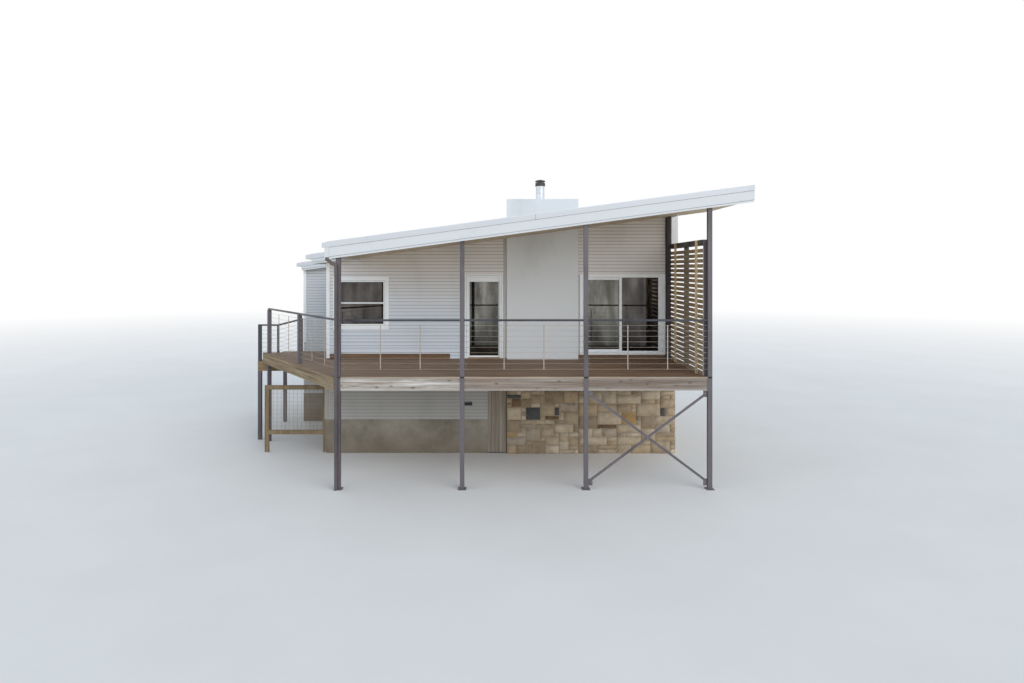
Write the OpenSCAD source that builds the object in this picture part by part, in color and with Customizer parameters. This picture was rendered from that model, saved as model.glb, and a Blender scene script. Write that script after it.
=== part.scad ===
// Raised beach house: a weatherboard house under one rising skillion roof, with a wire-railed
// timber deck on slender steel posts, a rendered chimney and a stone base.
// Plan values are measured from the first front post (x) and from the line of front posts (y).
// Heights are measured from the lowest ground, and deck heights from the top of the deck.

/* [Deck] */
// Height of the deck's top above the lowest ground
deck_height = 2320; // [2000:10:2800]
// Spacing of the front posts
bay = 2550; // [2400:10:3060]
// Distance from the line of front posts to the front wall
verandah_depth = 2770; // [2300:10:3400]
// Spacing of the posts along the slanting left side
side_bay = 2395; // [2300:5:2500]
// Direction of the slanting side, in degrees from the front
side_angle = 125; // [118:1:130]
// Thickness of the deck boards
board_t = 30; // [20:1:40]
// Height of the timber beams round the deck
beam_h = 255; // [200:5:340]
// Thickness of those beams
beam_t = 60; // [45:5:80]
// Depth of the joists
joist_h = 140; // [90:5:190]
// Thickness of the joists
joist_t = 45; // [35:5:70]
// Spacing of the joists
joist_pitch = 450; // [400:10:600]

/* [Posts and balustrade] */
// Side of the square steel posts
post_w = 90; // [75:5:100]
// Height of the handrail's top above the deck
rail_height = 1180; // [1000:10:1200]
// Height of the handrail bar
rail_h = 40; // [25:5:50]
// Depth of the handrail bar
rail_w = 50; // [40:5:70]
// Number of wires under the handrail
wire_count = 9; // [7:1:10]
// Height of the lowest wire above the deck
wire_start = 150; // [80:5:160]
// Spacing of the wires
wire_pitch = 113; // [80:1:113]
// Thickness of a wire
wire_d = 5; // [3:0.5:6]
// Width of the flat bars that space the wires
spacer_w = 20; // [16:1:40]
// Thickness of those bars
spacer_t = 10; // [8:1:12]

/* [Roof] */
// Slope of the roof in degrees
roof_pitch = 7.62; // [5:0.1:9.2]
// Height of the roof's low front corner above the deck
eave_height = 2755; // [2700:5:3300]
// Overhang of the low front corner past the first post
roof_left = 315; // [250:5:400]
// Overhang of the high end past the last post
roof_right = 893; // [500:5:1100]
// Overhang of the roof in front of the posts
roof_front = 120; // [110:5:400]
// Overhang of the roof past the rear wall
roof_rear = 450; // [200:10:700]
// Step down from the deck's roof to the house's roof
roof_step = 58; // [50:1:90]
// Overhang of the house's roof past the left corner of the house
side_eave = 460; // [420:10:480]
// Overhang of that side eave in front of the front wall
side_front = 270; // [150:10:400]
// Overhang of the low eave past the wing's left wall
wing_eave = 175; // [175:5:200]
// Overhang of the roof in front of the wing's front wall
wing_front = 200; // [100:10:400]
// Overhang of the house's roof past the right wall
high_eave = 120; // [100:5:130]
// Thickness of the roof sheeting and its battens
sheet_t = 45; // [30:5:60]
// Depth from the top of the deck's roof to its lining
roof_depth = 300; // [295:5:340]
// Depth from the top of the house's roof to its lining
house_depth = 210; // [190:5:225]
// Thickness of the lining boards under the roof
lining_t = 12; // [9:1:18]
// Thickness of the fascia boards
fascia_t = 25; // [18:1:30]
// Height of the metal capping along the roof's edge
cap_h = 110; // [80:5:130]
// Height of the fascia of the deck's roof
fascia_h = 350; // [345:5:390]
// Height of that fascia across the roof's high end
high_fascia_h = 305; // [300:5:350]
// Height of the fascia of the house's roof
house_fascia_h = 240; // [235:5:260]
// Distance of the joint in the front capping to the right of the first post
cap_joint = 4056; // [3000:1:5000]
// Thickness of the roof's rafters
rafter_t = 45; // [35:5:70]
// Greatest spacing of the rafters
rafter_pitch = 900; // [600:50:1200]
// Width of the gutter
gutter_w = 115; // [100:5:125]
// Height of the gutter
gutter_h = 64; // [50:2:64]
// Thickness of the gutter's metal
gutter_t = 4; // [3:1:5]
// Width of the low eaves outside their fascia boards
eave_w = 144; // [130:2:148]
// Width of the rainhead at the gutter's front end
rainhead_w = 86; // [76:2:86]
// Distance of the rainhead in from the roof's corner
rainhead_in = 55; // [45:5:55]
// Depth of the rainhead
rainhead_d = 66; // [50:2:70]
// Height of the rainhead's foot below the gutter's top
rainhead_drop = 300; // [296:2:320]
// Diameter of the round downpipes
pipe_d = 70; // [65:1:70]
// Thickness of the downpipes' wall
pipe_t = 4; // [3:1:5]

/* [House] */
// Distance of the house's left corner to the left of the first post
house_left = 930; // [850:5:1000]
// Length of the main front wall
house_w = 8334; // [8250:1:8400]
// Depth of the house from the front wall to the rear wall
house_d = 6830; // [5700:10:8200]
// Thickness of the timber walls
wall_t = 110; // [90:5:130]
// Width of the wing that stands out to the left at the rear
wing_w = 1570; // [1400:10:1600]
// Distance of the wing's front wall behind the main front wall
wing_back = 3510; // [3000:10:3600]
// Thickness of the floor platform
floor_t = 200; // [150:10:250]
// Height of the floor above the deck
floor_step = 20; // [10:5:40]
// Height of the masonry plinth
plinth_h = 830; // [600:10:1000]
// Distance that the plinth stands out from the wall
plinth_out = 20; // [10:5:40]
// Height of the timber board along the foot of the wall
foot_h = 125; // [100:5:150]
// Thickness of trim boards
trim_t = 22; // [18:1:28]
// Width of the corner trims
corner_w = 62; // [50:2:90]

/* [Windows and doors] */
// Width of a window's opening
window_w = 1170; // [1000:10:1200]
// Height of a window's opening
window_h = 1100; // [900:10:1120]
// Height of a window's sill above the deck
window_sill = 825; // [800:1:1000]
// Distance of the front window from the house's left corner
window_from_left = 249; // [200:1:300]
// Width of the trim round a window
window_trim = 100; // [70:5:100]
// Width of the sash bars
sash_w = 32; // [25:1:40]
// Depth of the sash bars
sash_t = 40; // [30:5:50]
// Width of the doorway
door_w = 870; // [820:5:900]
// Height of the doorway above the floor
door_h = 2030; // [1950:5:2060]
// Distance of the doorway to the right of the first post
door_from_post = 2500; // [2400:5:2520]
// Thickness of the door's frame
jamb_t = 32; // [25:1:40]
// Width of the trim round the doors
architrave_w = 30; // [25:1:45]
// Thickness of the door leaves
leaf_t = 40; // [35:1:45]
// Width of the glazed door's stiles
stile_w = 40; // [35:1:60]
// Height of the glazed door's top rail
top_rail = 115; // [80:5:130]
// Height of the glazed door's bottom rail
bottom_rail = 45; // [40:5:120]
// Thickness of the glass
glass_t = 6; // [5:1:8]
// Gap between a door leaf and its frame
leaf_gap = 6; // [5:0.5:8]
// Diameter of the hinge pins
pin_d = 8; // [6:1:10]
// Diameter of the hinge knuckles
knuckle_d = 16; // [14:1:20]
// Clearance of the knuckles round the pins
pin_gap = 0.1; // [0.05:0.01:0.1]
// Height of a hinge
hinge_h = 100; // [80:5:120]
// Thickness of the hinge plates
plate_t = 3; // [2:0.5:3]
// Width of the sliding door's opening
slider_w = 1950; // [1800:10:1960]
// Height of the sliding door's sill above the deck
slider_sill = 130; // [100:5:140]
// Height of the sliding door's head above the deck
slider_head = 2045; // [1950:5:2080]
// Width of the sliding leaf's bars
slider_bar = 62; // [45:1:70]

/* [Chimney and base] */
// Distance of the chimney to the right of the first post
chimney_from_post = 3500; // [3450:5:3600]
// Width of the chimney
chimney_w = 1750; // [1500:10:1780]
// Depth of the chimney from front to back
chimney_d = 700; // [600:10:900]
// Distance that the chimney stands out from the front wall
chimney_out = 100; // [60:5:140]
// Height of the chimney's top above the deck
chimney_height = 3930; // [3930:10:4400]
// Height of the chimney's joint above the deck
chimney_joint = 635; // [500:5:900]
// Width and depth of that joint
groove = 10; // [6:1:14]
// Diameter of the flue
flue_d = 215; // [180:5:250]
// Height of the flue above the chimney
flue_h = 400; // [300:10:600]
// Thickness of the flue's wall
flue_t = 8; // [5:1:10]
// Diameter of the cap on the flue
cowl_d = 250; // [220:5:300]
// Thickness of the stone base walls
stone_t = 250; // [200:10:300]
// Distance that the stone base stands out from the wall
stone_out = 60; // [40:5:90]
// Distance that the front of the stone base runs past the right wall
stone_end = 220; // [100:10:220]
// Width of the upright-boarded panel beside the stone base
panel_w = 470; // [400:10:500]

/* [Screen, landing and mesh panel] */
// Height of the slatted screen above the deck
screen_h = 2705; // [2200:5:2750]
// Height of a slat
slat_h = 78; // [50:1:84]
// Thickness of a slat
slat_t = 20; // [15:1:25]
// Spacing of the slats
slat_pitch = 106; // [95:1:120]
// Height of the screen's top rail
screen_rail = 120; // [70:5:130]
// Width of the upright battens
batten_w = 45; // [35:5:60]
// Length of the fixed glass over the screen, from the wall post
pane_w = 700; // [500:10:1000]
// Drop of the side landing below the deck
landing_drop = 240; // [150:10:300]
// Distance of the landing's left edge past the deck's left corner
landing_out = 130; // [60:10:260]
// Height of the landing's handrail above the landing
landing_rail = 980; // [900:10:1100]
// Width of the wire mesh panel under the deck
mesh_w = 1545; // [1300:5:1600]
// Height of the mesh panel's top above the lowest ground
mesh_h = 1650; // [1400:10:1700]
// Height of the mesh panel's bottom bar above the lowest ground
mesh_foot = 440; // [100:10:500]
// Width of the mesh panel's timber bars
mesh_bar = 100; // [70:5:110]
// Spacing of the mesh panel's wires
mesh_pitch = 100; // [80:5:150]
// Width of the bracing bars between the last two posts
brace_w = 50; // [40:5:60]
// Thickness of the bracing bars
brace_t = 8; // [6:1:12]

/* [Hidden] */
$fn = 48;
joint_gap = 3;
seat_gap = 0.1;
board_out = 40;
post_reach = 0.75;
cap_t = 6;
flange_t = 4;
flange_w = 90;
sheet_lap = 60;
strip_h = 47;
strip_in = 8;
roof_tail = 60;
lap_w = 8;
lap_t = 3;
bead = 12;
slat_start = 15;
screen_gap = 65;
batten_places = [430, 2150];
landing_wires = 7;
screen_post_y = 1500;
mesh_depth = 60;
mesh_wire = 4;
slider_margin = 14;
slider_foot = 30;
track_w = 6;
track_gap = 0.3;
pane_in = 5;
stop_w = 30;
stop_t = 12;
rose_d = 28;
rose_h = 8;
lever_d = 14;
lever_l = 110;
lever_out = 38;
spindle_d = 16;
handle_z = 1000;
pull_w = 20;
pull_l = 180;
pull_out = 24;
foot_end = 400;
rear_shares = [0.16, 0.66];
right_share = 0.5;
wing_share = 0.3;
plate_l = 32;
knuckle_gap = 0.3;
bend_drop = 42;
bend_fall = 0.7;
flue_share = 0.478;
flue_sunk = 600;
flue_base = 40;
collar_h = 50;
leg_h = 60;
cap_rim = 25;
cone_h = 22;
cone_top = 120;
brace_foot = 150;
slope = tan(roof_pitch);
bay_count = 3;
last_post = bay_count * bay;
roof_x0 = -roof_left;
roof_x1 = last_post + roof_right;
roof_y0 = -roof_front;
wall_y = verandah_depth;
rear_y = wall_y + house_d;
roof_y1 = rear_y + roof_rear;
house_x0 = -house_left;
house_x1 = house_x0 + house_w;
wing_x0 = house_x0 - wing_w;
wing_y = wall_y + wing_back;
wing_roof_x0 = wing_x0 - wing_eave;
wing_roof_y0 = wing_y - wing_front;
side_x0 = house_x0 - side_eave;
side_y0 = wall_y - side_front;
house_roof_x1 = house_x1 + high_eave;
house_drop = roof_step + house_depth;
side_length = 2 * side_bay;
side_edge = post_w / 2 + beam_t;
corner = side_point(side_length, 0);
back_y = corner[1] + post_reach * post_w + beam_t;
landing_x0 = side_at_y(back_y, side_edge + joint_gap)[0] - landing_out;
landing_x1 = house_x0 - plinth_out - joint_gap;
landing_y1 = wing_y - plinth_out - joint_gap;
deck_under = deck_height - board_t;
floor_z = deck_height + floor_step;
floor_under = floor_z - floor_t;
chimney_x1 = chimney_from_post + chimney_w;
chimney_y = wall_y - chimney_out;
door_x1 = door_from_post + door_w;
slider_x1 = house_x1 - wall_t - slider_margin;
slider_x0 = slider_x1 - slider_w;
centre_x = (landing_x0 + roof_x1) / 2;
centre_y = (roof_y0 + roof_y1) / 2;
reach = 20000;

// Height of the roof's top surface at a distance x
function roof_z(x) = deck_height + eave_height + (x - roof_x0) * slope;

// Point on the slanting side, a distance along it and an offset to its outside
function side_point(along, out) = [
    along * cos(side_angle) - out * sin(side_angle),
    along * sin(side_angle) + out * cos(side_angle)
];

// Point at a depth y on a line beside the slanting side
function side_at_y(y, out) =
    side_point((y - out * cos(side_angle)) / sin(side_angle), out);

// Sets the origin under the middle of the building, on the lowest ground
module place() {
    translate([-centre_x, -centre_y, 0])
        children();
}

// Plain block between two corners
module block(from, to) {
    translate(from)
        cube(to - from);
}

// Outline in x and height, carried from y0 to y1
module section(points, y0, y1) {
    translate([0, y1, 0])
        rotate([90, 0, 0])
            linear_extrude(height = y1 - y0)
                polygon(points);
}

// Block whose top follows the roof, a drop and a seat gap below the roof's top surface
module under_roof(x0, x1, y0, y1, z0, drop) {
    section([
        [x0, z0],
        [x1, z0],
        [x1, roof_z(x1) - drop - seat_gap],
        [x0, roof_z(x0) - drop - seat_gap]
    ], y0, y1);
}

// Sloping board between two depths below the roof's top surface
module roof_board(x0, x1, y0, y1, drop, thick) {
    section([
        [x0, roof_z(x0) - drop - thick],
        [x1, roof_z(x1) - drop - thick],
        [x1, roof_z(x1) - drop],
        [x0, roof_z(x0) - drop]
    ], y0, y1);
}

// Sloping layer over the outline in plan that is its child
module roof_layer(drop, thick) {
    intersection() {
        linear_extrude(height = reach)
            children();
        roof_board(-reach / 2, reach, -reach / 2, reach, drop, thick);
    }
}

// Children set out along the slanting side
module along_side() {
    rotate([0, 0, side_angle])
        children();
}

// Children cut back to the faces of the first front post
module past_first_post() {
    difference() {
        children();
        block([-post_w / 2, -post_w / 2, 0], [post_w / 2, post_w / 2, reach]);
    }
}

// Round bar along x
module bar_x(x0, x1, y, z, d) {
    translate([x0, y, z])
        rotate([0, 90, 0])
            cylinder(h = x1 - x0, d = d, $fn = 8);
}

// Outline of the deck's roof, moved in from its edges and its eave, and past its open rear
module deck_roof(in, eave_in, past = 0) {
    right = roof_x1 - in;
    tail = house_roof_x1 + joint_gap - past;
    translate([roof_x0 + eave_in, roof_y0 + in])
        square([right - roof_x0 - eave_in, wall_y + past - roof_y0 - in]);
    translate([tail, roof_y0 + in])
        square([right - tail, wall_y + roof_tail - roof_y0 - 2 * in]);
}

// Outline of the house's roof, moved in from its edges and its eaves, and past its open front
module house_roof(in, eave_in, past = 0) {
    right = house_roof_x1 - in;
    rear = roof_y1 - in;
    difference() {
        union() {
            translate([side_x0 + eave_in, side_y0 + in])
                square([right - side_x0 - eave_in, rear - side_y0 - in]);
            translate([wing_roof_x0 + eave_in, wing_roof_y0 + in])
                square([right - wing_roof_x0 - eave_in, rear - wing_roof_y0 - in]);
        }
        translate([roof_x0 - joint_gap + past, -reach / 2])
            square([reach, reach / 2 + wall_y + joint_gap - past]);
    }
}

// Square steel posts from the ground to the roof lining
module front_posts() {
    color("#6f6a72")
        place()
            for (i = [0:bay_count])
                under_roof(i * bay - post_w / 2, i * bay + post_w / 2,
                           -post_w / 2, post_w / 2, 0, roof_depth);
}

// Posts of the slanting side, the middle one on the deck and the corner one on the ground,
// and the landing's legs
module side_posts() {
    color("#6f6a72")
        place() {
            along_side() {
                translate([side_bay - post_w / 2, -post_w / 2, deck_height])
                    cube([post_w, post_w, rail_height - rail_h]);
                translate([side_length - post_w / 2, -post_w / 2, 0])
                    cube([post_w, post_w, deck_height + rail_height - rail_h]);
            }
            for (x = [landing_x0, landing_x1 - post_w])
                for (y = [back_y, landing_y1 - post_w])
                    block([x, y, 0],
                          [x + post_w, y + post_w, deck_height - landing_drop - beam_h]);
        }
}

module deck_beams() {
    color("#a39b90")
        place() {
            for (i = [0:bay_count - 1])
                block([i * bay + post_w / 2, -beam_t / 2, deck_under - beam_h],
                      [(i + 1) * bay - post_w / 2, beam_t / 2, deck_under]);
            block([last_post - beam_t / 2, post_w / 2, deck_under - beam_h],
                  [last_post + beam_t / 2, wall_y - stone_out - joint_gap, deck_under]);
            translate([0, 0, deck_under - beam_h])
                linear_extrude(height = beam_h) {
                    difference() {
                        polygon([
                            side_at_y(-post_w / 2, post_w / 2 + seat_gap),
                            side_at_y(-post_w / 2, side_edge),
                            side_at_y(back_y, side_edge),
                            side_at_y(back_y, post_w / 2 + seat_gap)
                        ]);
                        square(post_w + 2 * seat_gap, center = true);
                    }
                    polygon([
                        side_at_y(back_y - beam_t, post_w / 2 - joint_gap),
                        side_at_y(back_y, post_w / 2 - joint_gap),
                        [house_x0 - joint_gap, back_y],
                        [house_x0 - joint_gap, back_y - beam_t]
                    ]);
                }
        }
}

// Footprints of the posts that pass through the deck, with a gap round them
module post_prints(gap) {
    for (i = [0:bay_count])
        translate([i * bay, 0])
            square(post_w + 2 * gap, center = true);
    rotate([0, 0, side_angle])
        translate([side_length, 0])
            square(post_w + 2 * gap, center = true);
}

// Outline of the space under the deck boards, inside the beams
module deck_inside() {
    polygon([
        side_at_y(beam_t / 2, post_w / 2),
        [last_post - beam_t / 2, beam_t / 2],
        [last_post - beam_t / 2, wall_y - stone_out - joint_gap],
        [house_x0 - joint_gap, wall_y - stone_out - joint_gap],
        [house_x0 - joint_gap, back_y - beam_t],
        side_at_y(back_y - beam_t, post_w / 2)
    ]);
}

module deck_joists() {
    color("#8d8272")
        place()
            translate([0, 0, deck_under - joist_h])
                linear_extrude(height = joist_h)
                    difference() {
                        intersection() {
                            deck_inside();
                            union() {
                                for (x = [house_x0 - 4 * joist_pitch:joist_pitch:last_post])
                                    translate([x, 0])
                                        square([joist_t, reach / 2]);
                                translate([house_x0, wall_y - stone_out - joint_gap - joist_t])
                                    square([last_post - house_x0, joist_t]);
                            }
                        }
                        post_prints(0);
                        translate([chimney_from_post - joint_gap, chimney_y - joint_gap])
                            square([chimney_w + 2 * joint_gap, chimney_d]);
                    }
}

module deck_boards() {
    edge = post_w / 2;
    color("#8a6a50")
        place()
            translate([0, 0, deck_under])
                linear_extrude(height = board_t)
                    difference() {
                        polygon([
                            side_at_y(-edge, side_edge + joint_gap),
                            [last_post + edge, -edge],
                            [last_post + edge, wall_y - joint_gap],
                            [house_x0 - joint_gap, wall_y - joint_gap],
                            [house_x0 - joint_gap, back_y],
                            side_at_y(back_y, side_edge + joint_gap)
                        ]);
                        post_prints(joint_gap);
                        translate([chimney_from_post - joint_gap, chimney_y - joint_gap])
                            square([chimney_w + 2 * joint_gap, chimney_out + joint_gap]);
                    }
}

module handrails() {
    rail_z = deck_height + rail_height - rail_h;
    color("#3f4148")
        place() {
            for (i = [0:bay_count - 1])
                block([i * bay + post_w / 2, -rail_w / 2, rail_z],
                      [(i + 1) * bay - post_w / 2, rail_w / 2, rail_z + rail_h]);
            past_first_post()
                along_side()
                    translate([0, -rail_w / 2, rail_z])
                        cube([side_length + post_w / 2, rail_w, rail_h]);
        }
}

// Wires of one bay with the two flat bars that keep them apart
module wire_bay(length) {
    top = wire_start + (wire_count - 1) * wire_pitch;
    for (k = [0:wire_count - 1])
        bar_x(0, length, 0, deck_height + wire_start + k * wire_pitch, wire_d);
    for (x = [length / 3, length * 2 / 3])
        translate([x - spacer_w / 2, -spacer_t / 2, deck_height + wire_start - wire_d])
            cube([spacer_w, spacer_t, top - wire_start + 2 * wire_d]);
}

module front_wires() {
    color("#b9b4aa")
        place()
            for (i = [0:bay_count - 1])
                translate([i * bay + post_w / 2, 0, 0])
                    wire_bay(bay - post_w);
}

module side_wires() {
    color("#b9b4aa")
        place()
            past_first_post()
                along_side() {
                    wire_bay(side_bay - post_w / 2);
                    translate([side_bay + post_w / 2, 0, 0])
                        wire_bay(side_bay - post_w);
                }
}

// Low landing behind the deck's left corner, on its own posts
module landing() {
    top = deck_height - landing_drop;
    color("#9a7f5c")
        place() {
            block([landing_x0, back_y, top - board_t], [landing_x1, landing_y1, top]);
            for (y = [back_y, landing_y1 - beam_t])
                block([landing_x0, y, top - beam_h], [landing_x1, y + beam_t, top - board_t]);
            for (x = [landing_x0, landing_x1 - beam_t])
                block([x, back_y + beam_t, top - beam_h],
                      [x + beam_t, landing_y1 - beam_t, top - board_t]);
        }
}

module landing_rails() {
    top = deck_height - landing_drop;
    rail_z = top + landing_rail - rail_h;
    y0 = back_y + 2 * joint_gap;
    y1 = wing_y - joint_gap;
    post_x = landing_x0 + joint_gap;
    turn_x = wing_x0 - post_w;
    color("#55555a")
        place() {
            block([post_x, y0, top], [post_x + post_w, y0 + rail_w, rail_z]);
            block([turn_x, y0, top], [turn_x + rail_w, y0 + rail_w, rail_z]);
            block([post_x, y0, rail_z], [turn_x + rail_w, y0 + rail_w, rail_z + rail_h]);
            block([turn_x, y0 + rail_w, rail_z], [turn_x + rail_w, y1, rail_z + rail_h]);
            block([turn_x, y1 - rail_w, top], [turn_x + rail_w, y1, rail_z]);
            for (k = [0:landing_wires - 1]) {
                z = top + wire_start + k * wire_pitch;
                bar_x(post_x + post_w, turn_x, y0 + rail_w / 2, z, wire_d);
                translate([turn_x + rail_w / 2, y0 + rail_w, z])
                    rotate([-90, 0, 0])
                        cylinder(h = y1 - y0 - 2 * rail_w, d = wire_d, $fn = 8);
            }
        }
}

screen_x = last_post - post_w / 2 - screen_gap;
screen_y0 = rail_w / 2 + joint_gap;
screen_y1 = wall_y - post_w - trim_t;

module screen_slats() {
    count = floor((screen_h - slat_start - slat_h) / slat_pitch);
    color("#7d6c58")
        place()
            for (k = [0:count])
                block([screen_x - slat_t, screen_y0, deck_height + slat_start + k * slat_pitch],
                      [screen_x, screen_y1 + post_w,
                       deck_height + slat_start + k * slat_pitch + slat_h]);
}

// Steel wall post, middle post and top rail of the slatted screen
module screen_frame() {
    color("#4b464a")
        place() {
            under_roof(screen_x - slat_t - post_w, screen_x - slat_t - seat_gap,
                       screen_y1, screen_y1 + post_w, deck_height, roof_depth);
            block([screen_x - slat_t, screen_y0, deck_height + screen_h],
                  [last_post - post_w / 2, screen_y1 + post_w,
                   deck_height + screen_h + screen_rail]);
            block([screen_x, screen_post_y - post_w / 2, deck_height],
                  [screen_x + post_w, screen_post_y + post_w / 2, deck_height + screen_h]);
            block([screen_x, screen_y0, deck_height],
                  [last_post - post_w / 2, screen_y0 + batten_w, deck_height + screen_h]);
        }
}

// Upright timber battens on the inside of the slats
module screen_battens() {
    color("#b09468")
        place()
            for (y = batten_places)
                block([screen_x - slat_t - batten_w, y - batten_w / 2, deck_height],
                      [screen_x - slat_t, y + batten_w / 2, deck_height + screen_h + screen_rail]);
}

// White jamb and head round the fixed glass over the screen
module screen_window() {
    z0 = deck_height + screen_h + screen_rail;
    y1 = screen_y1 + post_w;
    color("#f2f2f0")
        place() {
            under_roof(screen_x - slat_t, screen_x + sash_w / 2, y1 - sash_w, y1, z0, roof_depth);
            difference() {
                under_roof(screen_x - slat_t, screen_x + sash_w / 2, y1 - pane_w, y1 - sash_w,
                           z0, roof_depth);
                under_roof(screen_x - slat_t - 1, screen_x + sash_w, y1 - pane_w - 1,
                           y1 - sash_w + 1, 0, roof_depth + sash_w);
            }
        }
}

module screen_glass() {
    z0 = deck_height + screen_h + screen_rail;
    y1 = screen_y1 + post_w;
    color([0.6, 0.7, 0.72, 0.5])
        place()
            under_roof(screen_x - slat_t / 2, screen_x - slat_t / 2 + glass_t, y1 - pane_w,
                       y1 - sash_w - seat_gap, z0, roof_depth + sash_w + seat_gap);
}

// One bracing bar in the plane of the front posts
module brace_bar(x0, z0, x1, z1, y) {
    length = norm([x1 - x0, z1 - z0]);
    intersection() {
        translate([x0, y, z0])
            rotate([0, -atan2(z1 - z0, x1 - x0), 0])
                translate([-brace_w, 0, -brace_w / 2])
                    cube([length + 2 * brace_w, brace_t, brace_w]);
        block([x0, y - 1, 0], [x1, y + brace_t + 1, reach]);
    }
}

module cross_brace() {
    x0 = (bay_count - 1) * bay + post_w / 2;
    x1 = last_post - post_w / 2;
    low = brace_foot;
    high = deck_under - beam_h - brace_w;
    color("#6f6a72")
        place() {
            brace_bar(x0, high, x1, low, -brace_t);
            brace_bar(x0, low, x1, high, 0);
        }
}

// Coursed stone under the chimney and along the right side
module stone_base() {
    front = wall_y - stone_out;
    end = house_x1 + stone_end;
    right = house_x1 + stone_out;
    color("#a8956f")
        place()
            union() {
                block([chimney_from_post, chimney_y, 0],
                      [chimney_x1, chimney_y + chimney_d, deck_under]);
                block([chimney_x1, front, 0], [end, front + stone_t, floor_under]);
                block([right - stone_t, front + stone_t, 0], [right, rear_y - wall_t, floor_under]);
            }
}

module base_walls() {
    x1 = chimney_from_post - panel_w;
    color("#dfe0dc")
        place() {
            block([house_x0, wall_y, plinth_h], [x1, wall_y + wall_t, floor_under]);
            block([house_x0, wall_y + wall_t, plinth_h],
                  [house_x0 + wall_t, wing_y + wall_t, floor_under]);
            block([wing_x0, wing_y, plinth_h], [house_x0, wing_y + wall_t, floor_under]);
            block([wing_x0, wing_y + wall_t, plinth_h],
                  [wing_x0 + wall_t, rear_y - wall_t, floor_under]);
            block([wing_x0, rear_y - wall_t, plinth_h], [house_x1, rear_y, floor_under]);
        }
}

module plinth() {
    x1 = chimney_from_post - panel_w;
    in = wall_t - plinth_out;
    color("#b5b0a6")
        place()
            union() {
                block([house_x0 - plinth_out, wall_y - plinth_out, 0],
                      [x1, wall_y + wall_t, plinth_h]);
                block([house_x0 - plinth_out, wall_y + wall_t, 0],
                      [house_x0 + in, wing_y - plinth_out, plinth_h]);
                block([wing_x0 - plinth_out, wing_y - plinth_out, 0],
                      [house_x0 + in, wing_y + wall_t, plinth_h]);
                block([wing_x0 - plinth_out, wing_y + wall_t, 0],
                      [wing_x0 + in, rear_y - wall_t, plinth_h]);
                block([wing_x0 - plinth_out, rear_y - wall_t, 0],
                      [house_x1, rear_y + plinth_out, plinth_h]);
            }
}

// Upright-boarded panel between the weatherboards and the stone
module base_panel() {
    color("#8c8478")
        place()
            block([chimney_from_post - panel_w, wall_y, 0],
                  [chimney_from_post, wall_y + wall_t / 2, floor_under]);
}

// Timber-framed wire panel beside the house's left corner, under the deck
module mesh_panel() {
    x1 = house_x0 - plinth_out;
    x0 = x1 - mesh_w;
    y0 = wall_y + wall_t / 2;
    depth = mesh_depth;
    wire = mesh_wire / 2;
    color("#8f7a5a")
        place()
            union() {
                for (x = [x0, x1 - mesh_bar])
                    block([x, y0, 0], [x + mesh_bar, y0 + depth, mesh_h]);
                for (z = [mesh_foot, mesh_h - mesh_bar])
                    block([x0 + mesh_bar, y0, z], [x1 - mesh_bar, y0 + depth, z + mesh_bar]);
                for (x = [x0 + mesh_bar + mesh_pitch:mesh_pitch:x1 - mesh_bar - 1])
                    block([x - wire, y0 + depth / 2 - wire, mesh_foot + mesh_bar / 2],
                          [x + wire, y0 + depth / 2 + wire, mesh_h - mesh_bar / 2]);
                for (z = [mesh_foot + mesh_bar + mesh_pitch:mesh_pitch:mesh_h - mesh_bar - 1])
                    block([x0 + mesh_bar / 2, y0 + depth / 2 - wire, z - wire],
                          [x1 - mesh_bar / 2, y0 + depth / 2 + wire, z + wire]);
            }
}

module floor() {
    color("#b08d5f")
        place()
            translate([0, 0, floor_under])
                linear_extrude(height = floor_t)
                    difference() {
                        polygon([
                            [house_x0, wall_y],
                            [house_x1, wall_y],
                            [house_x1, rear_y],
                            [wing_x0, rear_y],
                            [wing_x0, wing_y],
                            [house_x0, wing_y]
                        ]);
                        translate([chimney_from_post, wall_y - 1])
                            square([chimney_w, chimney_d - chimney_out + 1]);
                    }
}

// Hole for a window in a wall that runs along x
module window_hole_x(x0, y) {
    block([x0, y - 1, deck_height + window_sill],
          [x0 + window_w, y + wall_t + 1, deck_height + window_sill + window_h]);
}

// Hole for a window in a wall that runs along y
module window_hole_y(x, y0) {
    block([x - 1, y0, deck_height + window_sill],
          [x + wall_t + 1, y0 + window_w, deck_height + window_sill + window_h]);
}

front_window_x = house_x0 + window_from_left;
rear_windows = [for (share = rear_shares) house_x0 + share * house_w];
right_window_y = wall_y + right_share * house_d;
wing_window_y = wing_y + wing_share * (rear_y - wing_y);

module front_wall() {
    color("#dfe0dc")
        place()
            difference() {
                under_roof(house_x0, door_from_post, wall_y, wall_y + wall_t, floor_z, house_drop);
                window_hole_x(front_window_x, wall_y);
            }
}

// Narrow pieces of the front wall beside the doorways
module wall_piers() {
    color("#dfe0dc")
        place() {
            under_roof(door_x1, chimney_from_post, wall_y, wall_y + wall_t, floor_z, house_drop);
            under_roof(chimney_x1, slider_x0, wall_y, wall_y + wall_t, floor_z, house_drop);
            under_roof(slider_x1, house_x1, wall_y, wall_y + wall_t, floor_z, house_drop);
        }
}

// Pieces of the front wall over the two doorways and under the sliding door
module wall_heads() {
    color("#dfe0dc")
        place() {
            block([slider_x0, wall_y, floor_z],
                  [slider_x1, wall_y + wall_t, deck_height + slider_sill]);
            under_roof(door_from_post, door_x1, wall_y, wall_y + wall_t,
                       floor_z + door_h, house_drop);
            under_roof(slider_x0, slider_x1, wall_y, wall_y + wall_t,
                       deck_height + slider_head, house_drop);
        }
}

module right_wall() {
    color("#dfe0dc")
        place()
            difference() {
                under_roof(house_x1 - wall_t, house_x1, wall_y + wall_t, rear_y - wall_t,
                           floor_z, house_drop);
                window_hole_y(house_x1 - wall_t, right_window_y);
            }
}

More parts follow.
